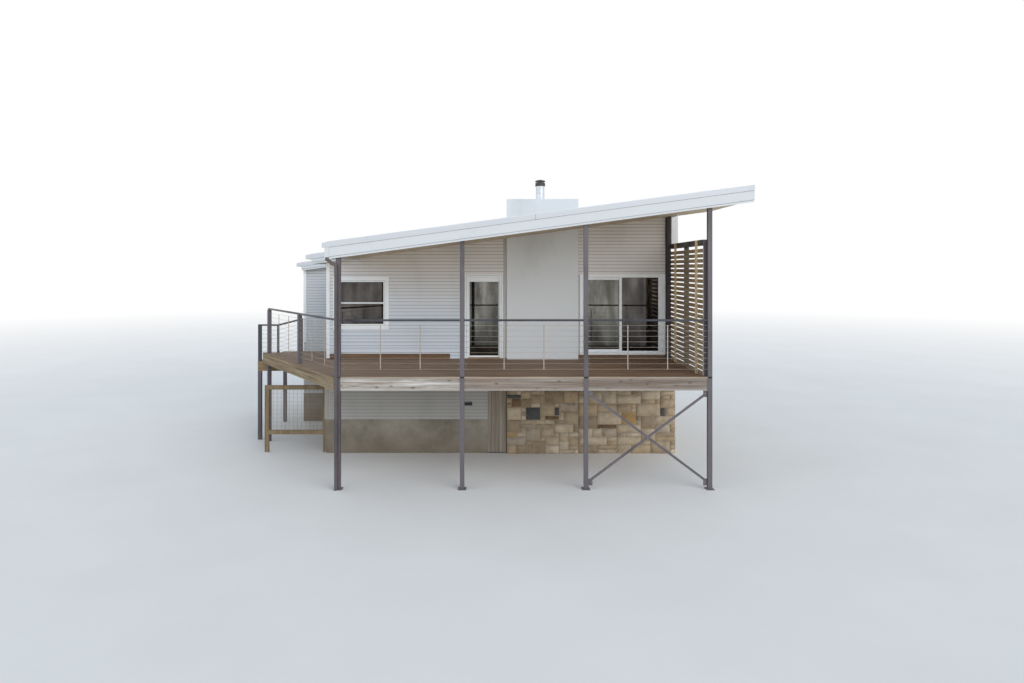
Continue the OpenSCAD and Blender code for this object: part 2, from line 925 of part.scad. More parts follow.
module rear_wall() {
    color("#dfe0dc")
        place()
            difference() {
                under_roof(wing_x0, house_x1, rear_y - wall_t, rear_y, floor_z, house_drop);
                for (x = rear_windows)
                    window_hole_x(x, rear_y - wall_t);
            }
}

module left_wall() {
    color("#dfe0dc")
        place()
            under_roof(house_x0, house_x0 + wall_t, wall_y + wall_t, wing_y, floor_z, house_drop);
}

module wing_walls() {
    color("#dfe0dc")
        place() {
            under_roof(wing_x0, house_x0 + wall_t, wing_y, wing_y + wall_t, floor_z, house_drop);
            difference() {
                under_roof(wing_x0, wing_x0 + wall_t, wing_y + wall_t, rear_y - wall_t,
                           floor_z, house_drop);
                window_hole_y(wing_x0, wing_window_y);
            }
        }
}

// Upright white boards on the outer corners
module corner_trims() {
    color("#f2f2f0")
        place() {
            for (c = [[house_x0, wall_y], [wing_x0, wing_y]])
                under_roof(c[0], c[0] + corner_w, c[1] - trim_t, c[1],
                           deck_height + slat_start, house_drop);
            block([house_x0 - corner_w, wall_y - trim_t, plinth_h],
                  [house_x0, wall_y + board_out, floor_under]);
            block([house_x0, wall_y - trim_t, plinth_h],
                  [house_x0 + trim_t, wall_y, floor_under]);
            under_roof(wing_x0, wing_x0 + corner_w, rear_y, rear_y + trim_t,
                       floor_under, house_drop);
            under_roof(house_x1 - corner_w, house_x1, rear_y, rear_y + trim_t,
                       floor_under, house_drop);
        }
}

// Timber board along the foot of the front wall
module foot_boards() {
    color("#7a5f45")
        place() {
            block([house_x0 + corner_w, wall_y - trim_t, deck_height],
                  [door_from_post - foot_end, wall_y, deck_height + foot_h]);
            block([chimney_x1, wall_y - trim_t, deck_height],
                  [house_x1, wall_y, deck_height + slider_sill - slider_foot - joint_gap]);
        }
}

// Trim, sashes and meeting rail of a window, with its outside towards -y
module window_unit() {
    trim_y = -trim_t;
    union() {
        difference() {
            block([-window_trim, trim_y, -window_trim],
                  [window_w + window_trim, 0, window_h + window_trim]);
            block([0, trim_y - 1, 0], [window_w, 1, window_h]);
        }
        difference() {
            block([0, trim_y, 0], [window_w, sash_t, window_h]);
            block([sash_w, trim_y - 1, sash_w],
                  [window_w - sash_w, sash_t + 1, window_h / 2 - sash_w / 2]);
            block([sash_w, trim_y - 1, window_h / 2 + sash_w / 2],
                  [window_w - sash_w, sash_t + 1, window_h - sash_w]);
        }
    }
}

module window_panes() {
    for (z = [sash_w, window_h / 2 + sash_w / 2])
        block([sash_w, pane_in, z],
              [window_w - sash_w, pane_in + glass_t, z + window_h / 2 - 1.5 * sash_w]);
}

// Children at each window, turned to face out
module at_windows() {
    z = deck_height + window_sill;
    translate([front_window_x, wall_y, z])
        children();
    for (x = rear_windows)
        translate([x + window_w, rear_y, z])
            rotate([0, 0, 180])
                children();
    translate([house_x1, right_window_y, z])
        rotate([0, 0, 90])
            children();
    translate([wing_x0, wing_window_y + window_w, z])
        rotate([0, 0, -90])
            children();
}

module window_frames() {
    color("#f2f2f0")
        place()
            at_windows()
                window_unit();
}

module window_glass() {
    color([0.35, 0.4, 0.42, 0.6])
        place() {
            at_windows()
                window_panes();
            fixed_light(glass_t);
        }
}

// Frame, head, threshold and outside trim of the glazed door
module door_frame() {
    y0 = wall_y - trim_t;
    y1 = wall_y + wall_t;
    top = floor_z + door_h;
    stop_y = y1 - leaf_t - leaf_gap;
    color("#f2f2f0")
        place()
            union() {
                difference() {
                    block([door_from_post, y0, floor_z], [door_x1, y1, top]);
                    block([door_from_post + jamb_t, y0 - 1, floor_z - 1],
                          [door_x1 - jamb_t, y1 + 1, top - jamb_t]);
                }
                difference() {
                    block([door_from_post - architrave_w, y0, floor_z],
                          [door_x1 + architrave_w, wall_y, top + architrave_w]);
                    block([door_from_post, y0 - 1, floor_z - 1], [door_x1, wall_y + 1, top]);
                }
                difference() {
                    block([door_from_post + jamb_t, stop_y - stop_w, floor_z],
                          [door_x1 - jamb_t, stop_y, top - jamb_t]);
                    block([door_from_post + jamb_t + stop_t, stop_y - stop_w - 1, floor_z - 1],
                          [door_x1 - jamb_t - stop_t, stop_y + 1, top - jamb_t - stop_t]);
                }
            }
}

// Centre of the hinge pins of the glazed door
hinge_x = door_from_post + jamb_t + leaf_gap / 2;
hinge_y = wall_y + wall_t + knuckle_d / 2;
hinge_heights = [220, 1000, 1780];

// Pins, outer knuckles and plates of the hinges, on the frame
module door_hinges() {
    color("#b8b8b8")
        place()
            for (z = hinge_heights)
                translate([hinge_x, hinge_y, floor_z + z])
                    union() {
                        cylinder(h = hinge_h, d = pin_d);
                        cylinder(h = hinge_h / 4, d = knuckle_d);
                        translate([0, 0, hinge_h * 3 / 4])
                            cylinder(h = hinge_h / 4, d = knuckle_d);
                        for (k = [0, 0.75])
                            translate([-jamb_t, -knuckle_d / 2, k * hinge_h])
                                cube([jamb_t, plate_t, hinge_h / 4]);
                    }
}

leaf_x0 = door_from_post + jamb_t + leaf_gap;
leaf_x1 = door_x1 - jamb_t - leaf_gap;
leaf_y0 = wall_y + wall_t - leaf_t;
leaf_z0 = floor_z + leaf_gap;
leaf_z1 = floor_z + door_h - jamb_t - leaf_gap;

module door_leaf() {
    color("#f2f2f0")
        place()
            difference() {
                union() {
                    block([leaf_x0, leaf_y0, leaf_z0], [leaf_x1, leaf_y0 + leaf_t, leaf_z1]);
                    for (z = hinge_heights)
                        translate([hinge_x, hinge_y, floor_z + z + hinge_h / 4 + knuckle_gap])
                            union() {
                                cylinder(h = hinge_h / 2 - 2 * knuckle_gap, d = knuckle_d);
                                translate([0, -knuckle_d / 2, 0])
                                    cube([plate_l, plate_t, hinge_h / 2 - 2 * knuckle_gap]);
                            }
                }
                block([leaf_x0 + stile_w, leaf_y0 - 1, leaf_z0 + bottom_rail],
                      [leaf_x1 - stile_w, leaf_y0 + leaf_t + 1, leaf_z1 - top_rail]);
                for (z = hinge_heights)
                    translate([hinge_x, hinge_y, floor_z + z])
                        cylinder(h = hinge_h, d = pin_d + 2 * pin_gap);
            }
}

module door_glass() {
    color([0.35, 0.4, 0.42, 0.6])
        place()
            block([leaf_x0 + stile_w, leaf_y0 + leaf_t / 2 - glass_t / 2, leaf_z0 + bottom_rail],
                  [leaf_x1 - stile_w, leaf_y0 + leaf_t / 2 + glass_t / 2, leaf_z1 - top_rail]);
}

// Lever handle on both faces of the glazed door
module door_handle() {
    x = leaf_x1 - stile_w + rose_d / 2;
    z = floor_z + handle_z;
    color("#b8b8b8")
        place()
            for (side = [0, 1])
                translate([x, leaf_y0 + side * leaf_t, z])
                    rotate([side == 0 ? 90 : -90, 0, 0])
                        union() {
                            cylinder(h = rose_h, d = rose_d);
                            cylinder(h = lever_out + lever_d / 2, d = spindle_d);
                            translate([0, 0, lever_out])
                                rotate([0, -90, 0])
                                    cylinder(h = lever_l, d = lever_d);
                        }
}

// Space or sheet of glass in the sliding door's fixed light
module fixed_light(thick) {
    y = wall_y + leaf_t / 2;
    block([slider_x0 + slider_w / 2 + slider_bar / 2, y - thick / 2,
           deck_height + slider_sill + slider_foot + jamb_t],
          [slider_x1 - jamb_t - bead, y + thick / 2,
           deck_height + slider_head - jamb_t - bead]);
}

// Frame of the sliding door with its fixed light on the right
module slider_frame() {
    z0 = deck_height + slider_sill;
    z1 = deck_height + slider_head;
    y0 = wall_y - trim_t;
    mid = slider_x0 + slider_w / 2;
    color("#f2f2f0")
        place()
            union() {
                difference() {
                    block([slider_x0, y0, z0], [slider_x1, wall_y + wall_t, z1]);
                    block([slider_x0 + jamb_t, y0 - 1, z0 + slider_foot],
                          [slider_x1 - jamb_t, wall_y + wall_t + 1, z1 - jamb_t]);
                }
                difference() {
                    block([slider_x0 - architrave_w, y0, z0 - slider_foot],
                          [house_x1, wall_y, z1 + architrave_w]);
                    block([slider_x0, y0 - 1, z0], [slider_x1, wall_y + 1, z1]);
                }
                difference() {
                    block([mid - slider_bar / 2, wall_y, z0 + slider_foot],
                          [slider_x1 - jamb_t, wall_y + leaf_t, z1 - jamb_t]);
                    fixed_light(leaf_t + 2);
                }
                block([slider_x0 + jamb_t, slide_y0 + (leaf_t - track_w) / 2, z0 + slider_foot],
                      [slider_x1 - jamb_t, slide_y0 + (leaf_t + track_w) / 2, slide_z0 - track_gap]);
            }
}

slide_x0 = slider_x0 + jamb_t + leaf_gap;
slide_x1 = slider_x0 + slider_w / 2 + slider_bar / 2;
slide_y0 = wall_y + leaf_t + leaf_gap;
slide_z0 = deck_height + slider_sill + slider_foot + leaf_gap;
slide_z1 = deck_height + slider_head - jamb_t - leaf_gap;

module slider_leaf() {
    color("#f2f2f0")
        place()
            difference() {
                block([slide_x0, slide_y0, slide_z0], [slide_x1, slide_y0 + leaf_t, slide_z1]);
                block([slide_x0 + slider_bar, slide_y0 - 1, slide_z0 + slider_bar],
                      [slide_x1 - slider_bar, slide_y0 + leaf_t + 1, slide_z1 - slider_bar]);
            }
}

module slider_glass() {
    color([0.35, 0.4, 0.42, 0.6])
        place()
            block([slide_x0 + slider_bar, slide_y0 + (leaf_t - glass_t) / 2, slide_z0 + slider_bar],
                  [slide_x1 - slider_bar, slide_y0 + (leaf_t + glass_t) / 2, slide_z1 - slider_bar]);
}

module slider_handle() {
    color("#b8b8b8")
        place()
            translate([slide_x0 + (slider_bar - pull_w) / 2, slide_y0 + leaf_t,
                       deck_height + handle_z])
                difference() {
                    cube([pull_w, pull_out, pull_l]);
                    translate([-1, -1, pull_w])
                        cube([pull_w + 2, pull_out / 2 + 1, pull_l - 2 * pull_w]);
                }
}

module chimney() {
    top = deck_height + chimney_height;
    color("#e4e0d8")
        place()
            difference() {
                block([chimney_from_post, chimney_y, deck_under],
                      [chimney_x1, chimney_y + chimney_d, top]);
                block([chimney_from_post - 1, chimney_y - 1, deck_height + chimney_joint],
                      [chimney_x1 + 1, chimney_y + groove, deck_height + chimney_joint + groove]);
                translate([chimney_from_post + chimney_w * flue_share,
                           chimney_y + chimney_d / 2, top - flue_sunk])
                    cylinder(h = flue_sunk + 1, d = flue_d);
            }
}

module flue() {
    top = deck_height + chimney_height;
    color("#c9c9c6")
        place()
            translate([chimney_from_post + chimney_w * flue_share,
                       chimney_y + chimney_d / 2, top - flue_sunk])
                difference() {
                    cylinder(h = flue_sunk + flue_h, d = flue_d);
                    translate([0, 0, flue_base])
                        cylinder(h = flue_sunk + flue_h, d = flue_d - 2 * flue_t);
                }
}

// Sleeve at the flue's mouth with a cap raised over it on four legs
module flue_cap() {
    top = deck_height + chimney_height + flue_h;
    color("#3a3a3c")
        place()
            translate([chimney_from_post + chimney_w * flue_share, chimney_y + chimney_d / 2, top])
                union() {
                    translate([0, 0, -collar_h])
                        difference() {
                            cylinder(h = collar_h + leg_h / 2, d = flue_d + 4 * flue_t);
                            translate([0, 0, -1])
                                cylinder(h = collar_h + leg_h, d = flue_d + 2 * seat_gap);
                        }
                    for (turn = [45:90:315])
                        rotate([0, 0, turn])
                            translate([flue_d / 2 + flue_t / 2, -flue_t, 0])
                                cube([flue_t, 2 * flue_t, leg_h + 1]);
                    translate([0, 0, leg_h])
                        cylinder(h = cap_rim, d = cowl_d);
                    translate([0, 0, leg_h + cap_rim])
                        cylinder(h = cone_h, d1 = cowl_d, d2 = cone_top);
                }
}

// Hole for the chimney through the roof
module chimney_hole() {
    block([chimney_from_post - joint_gap, chimney_y - joint_gap, 0],
          [chimney_x1 + joint_gap, chimney_y + chimney_d + joint_gap, reach]);
}

module roof_sheeting() {
    top = flange_t + seat_gap;
    color("#e9eaea")
        place()
            difference() {
                union() {
                    roof_layer(top, sheet_t - top)
                        deck_roof(cap_t, sheet_lap);
                    roof_layer(roof_step + top, sheet_t - top)
                        house_roof(cap_t, sheet_lap);
                }
                chimney_hole();
            }
}

// Upright slices for rafters, evenly spaced from one depth to another
module rafter_rows(y0, y1) {
    span = y1 - y0 - rafter_t;
    count = ceil(span / rafter_pitch);
    for (k = [0:count])
        block([-reach / 2, y0 + k * span / count, 0],
              [reach, y0 + k * span / count + rafter_t, reach]);
}

module rafters() {
    top = sheet_t + seat_gap;
    edge = cap_t + fascia_t;
    color("#c9ad7f")
        place()
            difference() {
                union() {
                    intersection() {
                        roof_layer(top, roof_depth - lining_t - seat_gap - top)
                            deck_roof(edge, eave_w + fascia_t);
                        rafter_rows(roof_y0 + edge, wall_y);
                    }
                    intersection() {
                        roof_layer(roof_step + top, house_depth - lining_t - seat_gap - top)
                            house_roof(edge, eave_w + fascia_t);
                        union() {
                            block([-reach / 2, side_y0 + edge, 0],
                                  [reach, side_y0 + edge + rafter_t, reach]);
                            rafter_rows(wall_y + joint_gap, roof_y1 - edge);
                        }
                    }
                }
                chimney_hole();
            }
}

// Lining boards on the underside of both roofs
module roof_lining() {
    edge = cap_t + fascia_t;
    color("#eceae4")
        place()
            difference() {
                union() {
                    roof_layer(roof_depth - lining_t, lining_t)
                        deck_roof(edge, eave_w + fascia_t);
                    roof_layer(house_drop - lining_t, lining_t)
                        house_roof(edge, eave_w + fascia_t);
                }
                chimney_hole();
            }
}

// Boards that close the roofs' edges, stepped back along their foot
module fascias() {
    top = sheet_t + seat_gap;
    edge = cap_t + fascia_t;
    color("#f4f5f6")
        place() {
            difference() {
                union() {
                    roof_layer(top, fascia_h - strip_h - top)
                        deck_roof(cap_t, eave_w);
                    roof_layer(top, fascia_h - top)
                        deck_roof(cap_t + strip_in, eave_w + strip_in);
                }
                roof_layer(0, reach)
                    deck_roof(edge, eave_w + fascia_t, 1);
                roof_layer(high_fascia_h, reach)
                    translate([house_roof_x1, roof_y0 + edge])
                        square([reach, reach]);
            }
            difference() {
                union() {
                    roof_layer(roof_step + top, house_fascia_h - strip_h - top)
                        house_roof(cap_t, eave_w);
                    roof_layer(roof_step + top, house_fascia_h - top)
                        house_roof(cap_t + strip_in, eave_w + strip_in);
                }
                roof_layer(0, reach)
                    house_roof(edge, eave_w + fascia_t, 1);
            }
        }
}

// Metal capping on the front, high and rear edges, and flashing over the step between the roofs
module roof_capping() {
    color("#f7f8f9")
        place()
            difference() {
                union() {
                    difference() {
                        roof_layer(0, cap_h)
                            deck_roof(0, 0);
                        roof_layer(flange_t, reach)
                            deck_roof(cap_t, -1, 1);
                        roof_layer(-1, reach)
                            deck_roof(flange_w, -1, 1);
                    }
                    difference() {
                        roof_layer(roof_step, cap_h)
                            house_roof(0, 0);
                        roof_layer(roof_step + flange_t, reach)
                            house_roof(cap_t, -1, 1);
                        roof_layer(0, reach)
                            house_roof(flange_w, -1, 1);
                    }
                    difference() {
                        roof_board(roof_x0, house_roof_x1, wall_y - flange_w, wall_y + cap_t,
                                   0, roof_step);
                        roof_board(roof_x0 - 1, house_roof_x1 + 1, wall_y - flange_w - 1, wall_y,
                                   flange_t, roof_step);
                    }
                }
                chimney_hole();
                block([cap_joint, roof_y0 - 1, 0], [cap_joint + lap_w, roof_y0 + lap_t, reach]);
            }
}

// Open channel under a roof's low edge, from one depth to another
module gutter_run(edge, y0, y1, drop) {
    x1 = edge + eave_w;
    x0 = x1 - gutter_w;
    difference() {
        roof_board(x0, x1, y0, y1, drop + seat_gap, gutter_h);
        roof_board(x0 + gutter_t, x1 - gutter_t, y0 + gutter_t, y1 - gutter_t,
                   drop - 1, gutter_h - gutter_t + 1);
    }
}

rainhead_x = roof_x0 + rainhead_in;
rainhead_foot = roof_z(roof_x0) - rainhead_drop;

// Gutters under the three low eaves, with the rainhead at the front
module gutters() {
    rainhead_top = sheet_t + gutter_h - gutter_t / 2;
    color("#f4f5f6")
        place() {
            section([
                [rainhead_x, rainhead_foot],
                [rainhead_x + rainhead_w, rainhead_foot],
                [rainhead_x + rainhead_w, roof_z(rainhead_x + rainhead_w) - rainhead_top],
                [rainhead_x, roof_z(rainhead_x) - rainhead_top]
            ], roof_y0 + cap_t, roof_y0 + cap_t + rainhead_d);
            gutter_run(roof_x0, roof_y0 + cap_t, wall_y, sheet_t);
            gutter_run(side_x0, side_y0 + cap_t, wing_roof_y0 + cap_t, roof_step + sheet_t);
            gutter_run(wing_roof_x0, wing_roof_y0 + cap_t, roof_y1 - cap_t, roof_step + sheet_t);
        }
}

// Round bar between two points of a plane y
module pipe_length(x0, z0, x1, z1, d) {
    translate([x0, 0, z0])
        rotate([0, atan2(x1 - x0, z1 - z0), 0])
            cylinder(h = norm([x1 - x0, z1 - z0]), d = d);
}

// Pipe from the rainhead, across to the post and down to the ground
module pipe_run(d, lap) {
    x = -pipe_d / 2;
    bend_x = rainhead_x + rainhead_w / 2;
    bend_z = rainhead_foot - bend_drop;
    turn_z = bend_z - bend_fall * (x - bend_x);
    pipe_length(bend_x, bend_z, bend_x, rainhead_foot + lap, d);
    pipe_length(x, turn_z, bend_x, bend_z, d);
    pipe_length(x, -lap, x, turn_z, d);
    for (c = [[bend_x, bend_z], [x, turn_z]])
        translate([c[0], 0, c[1]])
            sphere(d = d + joint_gap);
}

module downpipes() {
    color("#77767c")
        place()
            translate([0, -(post_w + pipe_d + joint_gap) / 2 - seat_gap, 0])
                difference() {
                    pipe_run(pipe_d, 0);
                    pipe_run(pipe_d - 2 * pipe_t, 1);
                }
}

front_posts();
side_posts();
deck_beams();
deck_joists();
deck_boards();
handrails();
front_wires();
side_wires();
landing();
landing_rails();
screen_slats();
screen_frame();
screen_battens();
screen_window();
screen_glass();
cross_brace();
stone_base();
base_walls();
plinth();
base_panel();
mesh_panel();
floor();
front_wall();
wall_piers();
wall_heads();
right_wall();
rear_wall();
left_wall();
wing_walls();
corner_trims();
foot_boards();
window_frames();
window_glass();
door_frame();
door_hinges();
door_leaf();
door_glass();
door_handle();
slider_frame();
slider_leaf();
slider_glass();
slider_handle();
chimney();
flue();
flue_cap();
roof_sheeting();
rafters();
roof_lining();
fascias();
roof_capping();
gutters();
downpipes();
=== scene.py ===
import math
import random

import bmesh
import bpy
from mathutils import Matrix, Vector, noise


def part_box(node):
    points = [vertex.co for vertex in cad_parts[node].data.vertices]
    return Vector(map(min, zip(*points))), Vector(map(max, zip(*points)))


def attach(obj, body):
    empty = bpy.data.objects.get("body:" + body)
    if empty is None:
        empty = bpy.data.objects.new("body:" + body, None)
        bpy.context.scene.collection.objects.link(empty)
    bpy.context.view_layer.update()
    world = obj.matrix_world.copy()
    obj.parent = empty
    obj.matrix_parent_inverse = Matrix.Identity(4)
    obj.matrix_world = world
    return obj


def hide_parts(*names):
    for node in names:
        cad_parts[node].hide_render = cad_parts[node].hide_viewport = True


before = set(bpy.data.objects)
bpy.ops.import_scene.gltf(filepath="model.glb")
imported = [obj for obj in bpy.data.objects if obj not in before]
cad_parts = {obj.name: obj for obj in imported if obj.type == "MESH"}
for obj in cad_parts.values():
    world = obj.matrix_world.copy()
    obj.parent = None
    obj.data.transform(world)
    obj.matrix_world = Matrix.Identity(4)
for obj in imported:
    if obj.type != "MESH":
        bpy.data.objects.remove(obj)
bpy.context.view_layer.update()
rng = random.Random(11)

# The part's own sizes in metres, measured from the first front post and the lowest ground
POST = 0.09
DECK = 2.32
BAY, SIDE_BAY = 2.55, 2.395  # from post to post, in front and along the slanting side
WALL_Y, REAR_Y = 2.77, 9.60
HOUSE_X0, HOUSE_X1 = -0.93, 7.404
WALL_L = HOUSE_X1 - HOUSE_X0
WING_X0, WING_Y = -2.50, 6.28
FLOOR_UNDER, PLINTH = 2.14, 0.83
PANEL_X0 = 3.03
CHIM_X0, CHIM_X1, CHIM_Y, CHIM_D = 3.50, 5.25, 2.67, 0.74
DOOR_X0, DOOR_X1, DOOR_TOP = 2.50, 3.37, 4.37
SLIDE_X0, SLIDE_X1, SLIDE_TOP = 5.33, 7.28, 4.365
WIN_X0, WIN_Z0, WIN_W, WIN_H, TRIM = -0.681, 3.145, 1.17, 1.10, 0.10
REAR_WINDOWS = (HOUSE_X0 + 0.16 * WALL_L, HOUSE_X0 + 0.66 * WALL_L)
RIGHT_WINDOW, WING_WINDOW_Y = 3.415, 7.276  # from the front wall, and from the posts
CORNER, CORNER_OUT = 0.062, 0.022  # corner boards: width and thickness
SLOPE = math.tan(math.radians(7.62))
SIDE = math.radians(125)
EAVE_X, EAVE_Z = -0.315, 5.075

post_lo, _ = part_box("front_posts")
OX, OY = post_lo[0] + POST / 2, post_lo[1] + POST / 2


def roof(x):
    """Height of the deck roof's top."""
    return EAVE_Z + (x - EAVE_X) * SLOPE


def side_x(y, out):
    """x on the deck's slanting side at a depth y, moved out from it."""
    along = (y - out * math.cos(SIDE)) / math.sin(SIDE)
    return along * math.cos(SIDE) - out * math.sin(SIDE)


# ---------------------------------------------------------------- materials

def lin(r, g, b):
    """Linear colour of a colour given as seen, 0 to 255."""
    def one(c):
        c /= 255
        return c / 12.92 if c <= 0.04045 else ((c + 0.055) / 1.055) ** 2.4
    return (one(r), one(g), one(b), 1.0)


class Nodes:
    """One material and short calls that add its nodes."""

    def __init__(self, name):
        self.mat = bpy.data.materials.new(name)
        self.mat.use_nodes = True
        self.tree = self.mat.node_tree
        self.out = self.tree.nodes["Material Output"]
        self.bsdf = self.tree.nodes["Principled BSDF"]
        self.coord = self.add("ShaderNodeTexCoord").outputs["Object"]

    def add(self, kind, **sets):
        node = self.tree.nodes.new(kind)
        for key, value in sets.items():
            setattr(node, key, value)
        return node

    def link(self, a, b):
        self.tree.links.new(a, b)

    def mapped(self, scale, turn=(0, 0, 0)):
        node = self.add("ShaderNodeMapping")
        node.inputs["Scale"].default_value = scale
        node.inputs["Rotation"].default_value = turn
        self.link(self.coord, node.inputs["Vector"])
        return node.outputs[0]

    def noise(self, scale, detail=5, rough=0.55, turn=(0, 0, 0)):
        """Noise with waves per metre, the same along each axis or one for each."""
        if isinstance(scale, (int, float)):
            scale = (scale,) * 3
        node = self.add("ShaderNodeTexNoise")
        node.inputs["Scale"].default_value = 1
        node.inputs["Detail"].default_value = detail
        node.inputs["Roughness"].default_value = rough
        self.link(self.mapped(scale, turn), node.inputs["Vector"])
        return node.outputs["Fac"]

    def spots(self, scale):
        """Distance to the nearest of many scattered points."""
        node = self.add("ShaderNodeTexVoronoi")
        node.inputs["Scale"].default_value = 1
        self.link(self.mapped(scale), node.inputs["Vector"])
        return node.outputs["Distance"]

    def ramp(self, fac, stops):
        """Colour ramp through stops of (position, colour)."""
        node = self.add("ShaderNodeValToRGB")
        ramp = node.color_ramp
        while len(ramp.elements) < len(stops):
            ramp.elements.new(0.5)
        for el, (pos, col) in zip(ramp.elements, stops):
            el.position = pos
            el.color = col if len(col) == 4 else (*col, 1)
        self.link(fac, node.inputs[0])
        return node.outputs[0]

    def mix(self, fac, a, b, how="MIX"):
        """Colour mix, where each argument is a value or a socket."""
        node = self.add("ShaderNodeMix", data_type="RGBA", blend_type=how)
        for slot, value in ((0, fac), (6, a), (7, b)):
            if isinstance(value, (int, float, tuple)):
                node.inputs[slot].default_value = value
            else:
                self.link(value, node.inputs[slot])
        return node.outputs[2]

    def span(self, value, lo, hi, out0=0.0, out1=1.0):
        """Value from lo to hi, spread over out0 to out1."""
        node = self.add("ShaderNodeMapRange")
        for i, v in enumerate((lo, hi, out0, out1), 1):
            node.inputs[i].default_value = v
        self.link(value, node.inputs[0])
        return node.outputs[0]

    def axis(self, which):
        """Object coordinate: 0 for x, 1 for y, 2 for z."""
        node = self.add("ShaderNodeSeparateXYZ")
        self.link(self.coord, node.inputs[0])
        return node.outputs[which]

    def tone(self):
        """Colour that Build gave to each face."""
        return self.add("ShaderNodeAttribute", attribute_name="tone").outputs["Color"]

    def finish(self, colour, rough=0.6, metal=0.0, bump=None, strength=0.3, distance=0.003):
        """The material, with its colour, roughness and fine relief set."""
        self.link(colour, self.bsdf.inputs["Base Color"])
        if isinstance(rough, float):
            self.bsdf.inputs["Roughness"].default_value = rough
        else:
            self.link(rough, self.bsdf.inputs["Roughness"])
        self.bsdf.inputs["Metallic"].default_value = metal
        if bump is not None:
            node = self.add("ShaderNodeBump")
            node.inputs["Strength"].default_value = strength
            node.inputs["Distance"].default_value = distance
            self.link(bump, node.inputs["Height"])
            self.link(node.outputs[0], self.bsdf.inputs["Normal"])
        return self.mat


def mottled(name, low, high, spots, rough, metal, bump, strength, distance):
    """Surface between two colours. Spots and bump are the settings of their noise."""
    n = Nodes(name)
    colour = n.ramp(n.noise(*spots), [(0.3, low), (0.7, high)])
    return n.finish(colour, rough, metal, n.noise(*bump), strength, distance)


def painted(name, light, dark, rough, metal=0.0, grime=0.5, scale=1.3, toned=False):
    """Paint with soft weather stains, fine speckle and a slight orange-peel surface."""
    n = Nodes(name)
    stain = n.noise((scale, scale, scale * 0.45), 6, 0.6)
    colour = n.ramp(stain, [(0.30, dark), (0.30 + 0.4 * grime, light), (1.0, light)])
    speck = n.noise(90, 2)
    colour = n.mix(n.span(speck, 0.60, 0.80, 0, 0.20), colour, dark)
    if toned:
        colour = n.mix(1.0, colour, n.tone(), "MULTIPLY")
    return n.finish(colour, n.span(stain, 0.3, 0.7, rough[1], rough[0]), metal,
                    n.noise(160, 2), 0.12, 0.001)


def corner_paint_and_shade():
    """White trim, darker below the deck in painted shade."""
    n = Nodes("corner_trim")
    stain = n.noise((1.3, 1.3, 0.6), 6, 0.6)
    white = lin(252, 254, 255)
    colour = n.ramp(stain, [(0.30, lin(240, 243, 247)), (0.45, white), (1.0, white)])
    # Painted shade on the trim below the deck
    low = n.ramp(stain, [(0.30, lin(164, 160, 152)), (0.70, lin(186, 182, 173))])
    colour = n.mix(n.span(n.axis(2), FLOOR_UNDER, FLOOR_UNDER + 0.02), low, colour)
    return n.finish(colour, 0.5, 0.0, n.noise(160, 2), 0.12, 0.001)


def timber(name, light, dark, grain, streak, toned=False):
    """Sawn timber: long streaks along the axis of the grain, and fine pores."""
    n = Nodes(name)
    wide = [22.0, 22.0, 22.0]
    wide[grain] = 0.9
    fine = [120.0, 120.0, 120.0]
    fine[grain] = 3.0
    streaks = n.noise(tuple(wide), 6, 0.65)
    pores = n.noise(tuple(fine), 4, 0.6)
    colour = n.ramp(streaks, [(0.28, dark), (0.28 + streak * 0.6, light), (1.0, light)])
    colour = n.mix(n.span(pores, 0.50, 0.75, 0, 0.45), colour, dark)
    if toned:
        colour = n.mix(1.0, colour, n.tone(), "MULTIPLY")
    return n.finish(colour, n.span(streaks, 0.3, 0.7, 0.8, 0.55), 0.0, pores, 0.4, 0.002)


def beam_timber():
    """Deck beams: grey boards in front, browner and darker to the right, partly wood and partly painted
    shade, yellower pine on the slanting side.
    """
    n = Nodes("beam_timber")
    grain = n.noise((0.7, 0.7, 30), 8, 0.72)
    grey = n.ramp(grain, [(0.30, lin(118, 106, 96)), (0.48, lin(168, 160, 153)), (0.70, lin(208, 204, 201))])
    brown = n.ramp(grain, [(0.30, lin(90, 77, 68)), (0.48, lin(138, 126, 117)), (0.70, lin(176, 168, 162))])
    pine = n.ramp(grain, [(0.34, lin(74, 60, 44)), (0.50, lin(136, 118, 92)), (0.66, lin(172, 156, 128))])
    bleached = n.noise((0.7, 0.7, 12), 6, 0.7)
    grey = n.mix(n.span(bleached, 0.46, 0.62, 0, 0.75), grey, lin(226, 223, 221))
    second_bay, third_bay, slanting_side = OX + BAY, OX + 2 * BAY, OX - 0.065
    # Browner and darker from the second bay on: partly wood, partly painted shade
    grey = n.mix(n.span(n.axis(0), second_bay - 0.05, second_bay + 0.05), grey, brown)
    red = n.noise((0.9, 0.9, 22), 6, 0.7, (0, 0, 0.3))
    grey = n.mix(n.span(red, 0.50, 0.62, 0, 0.7), grey, lin(134, 108, 90))
    # Darker again in the third bay, by the screen: partly painted shade
    grey = n.mix(n.span(n.axis(0), third_bay - 0.05, third_bay + 0.05, 0, 0.3), grey, lin(112, 100, 92))
    knots = n.spots((3.4, 0.6, 7.5))
    grey = n.mix(n.span(knots, 0.07, 0.20, 0.7, 0), grey, lin(88, 70, 58))
    # Paler along the lower and upper edges
    (_, _, foot), (_, _, head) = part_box("deck_beams")
    for a, b, most, least in ((foot, foot + 0.055, 0.55, 0.0), (head - 0.040, head, 0.0, 0.45)):
        grey = n.mix(n.span(n.axis(2), a, b, most, least), grey, lin(206, 200, 196))
    left = n.span(n.axis(0), slanting_side - 0.01, slanting_side + 0.01)
    return n.finish(n.mix(left, pine, grey), 0.75, 0.0, n.noise((4, 4, 140), 4, 0.6), 0.45, 0.002)


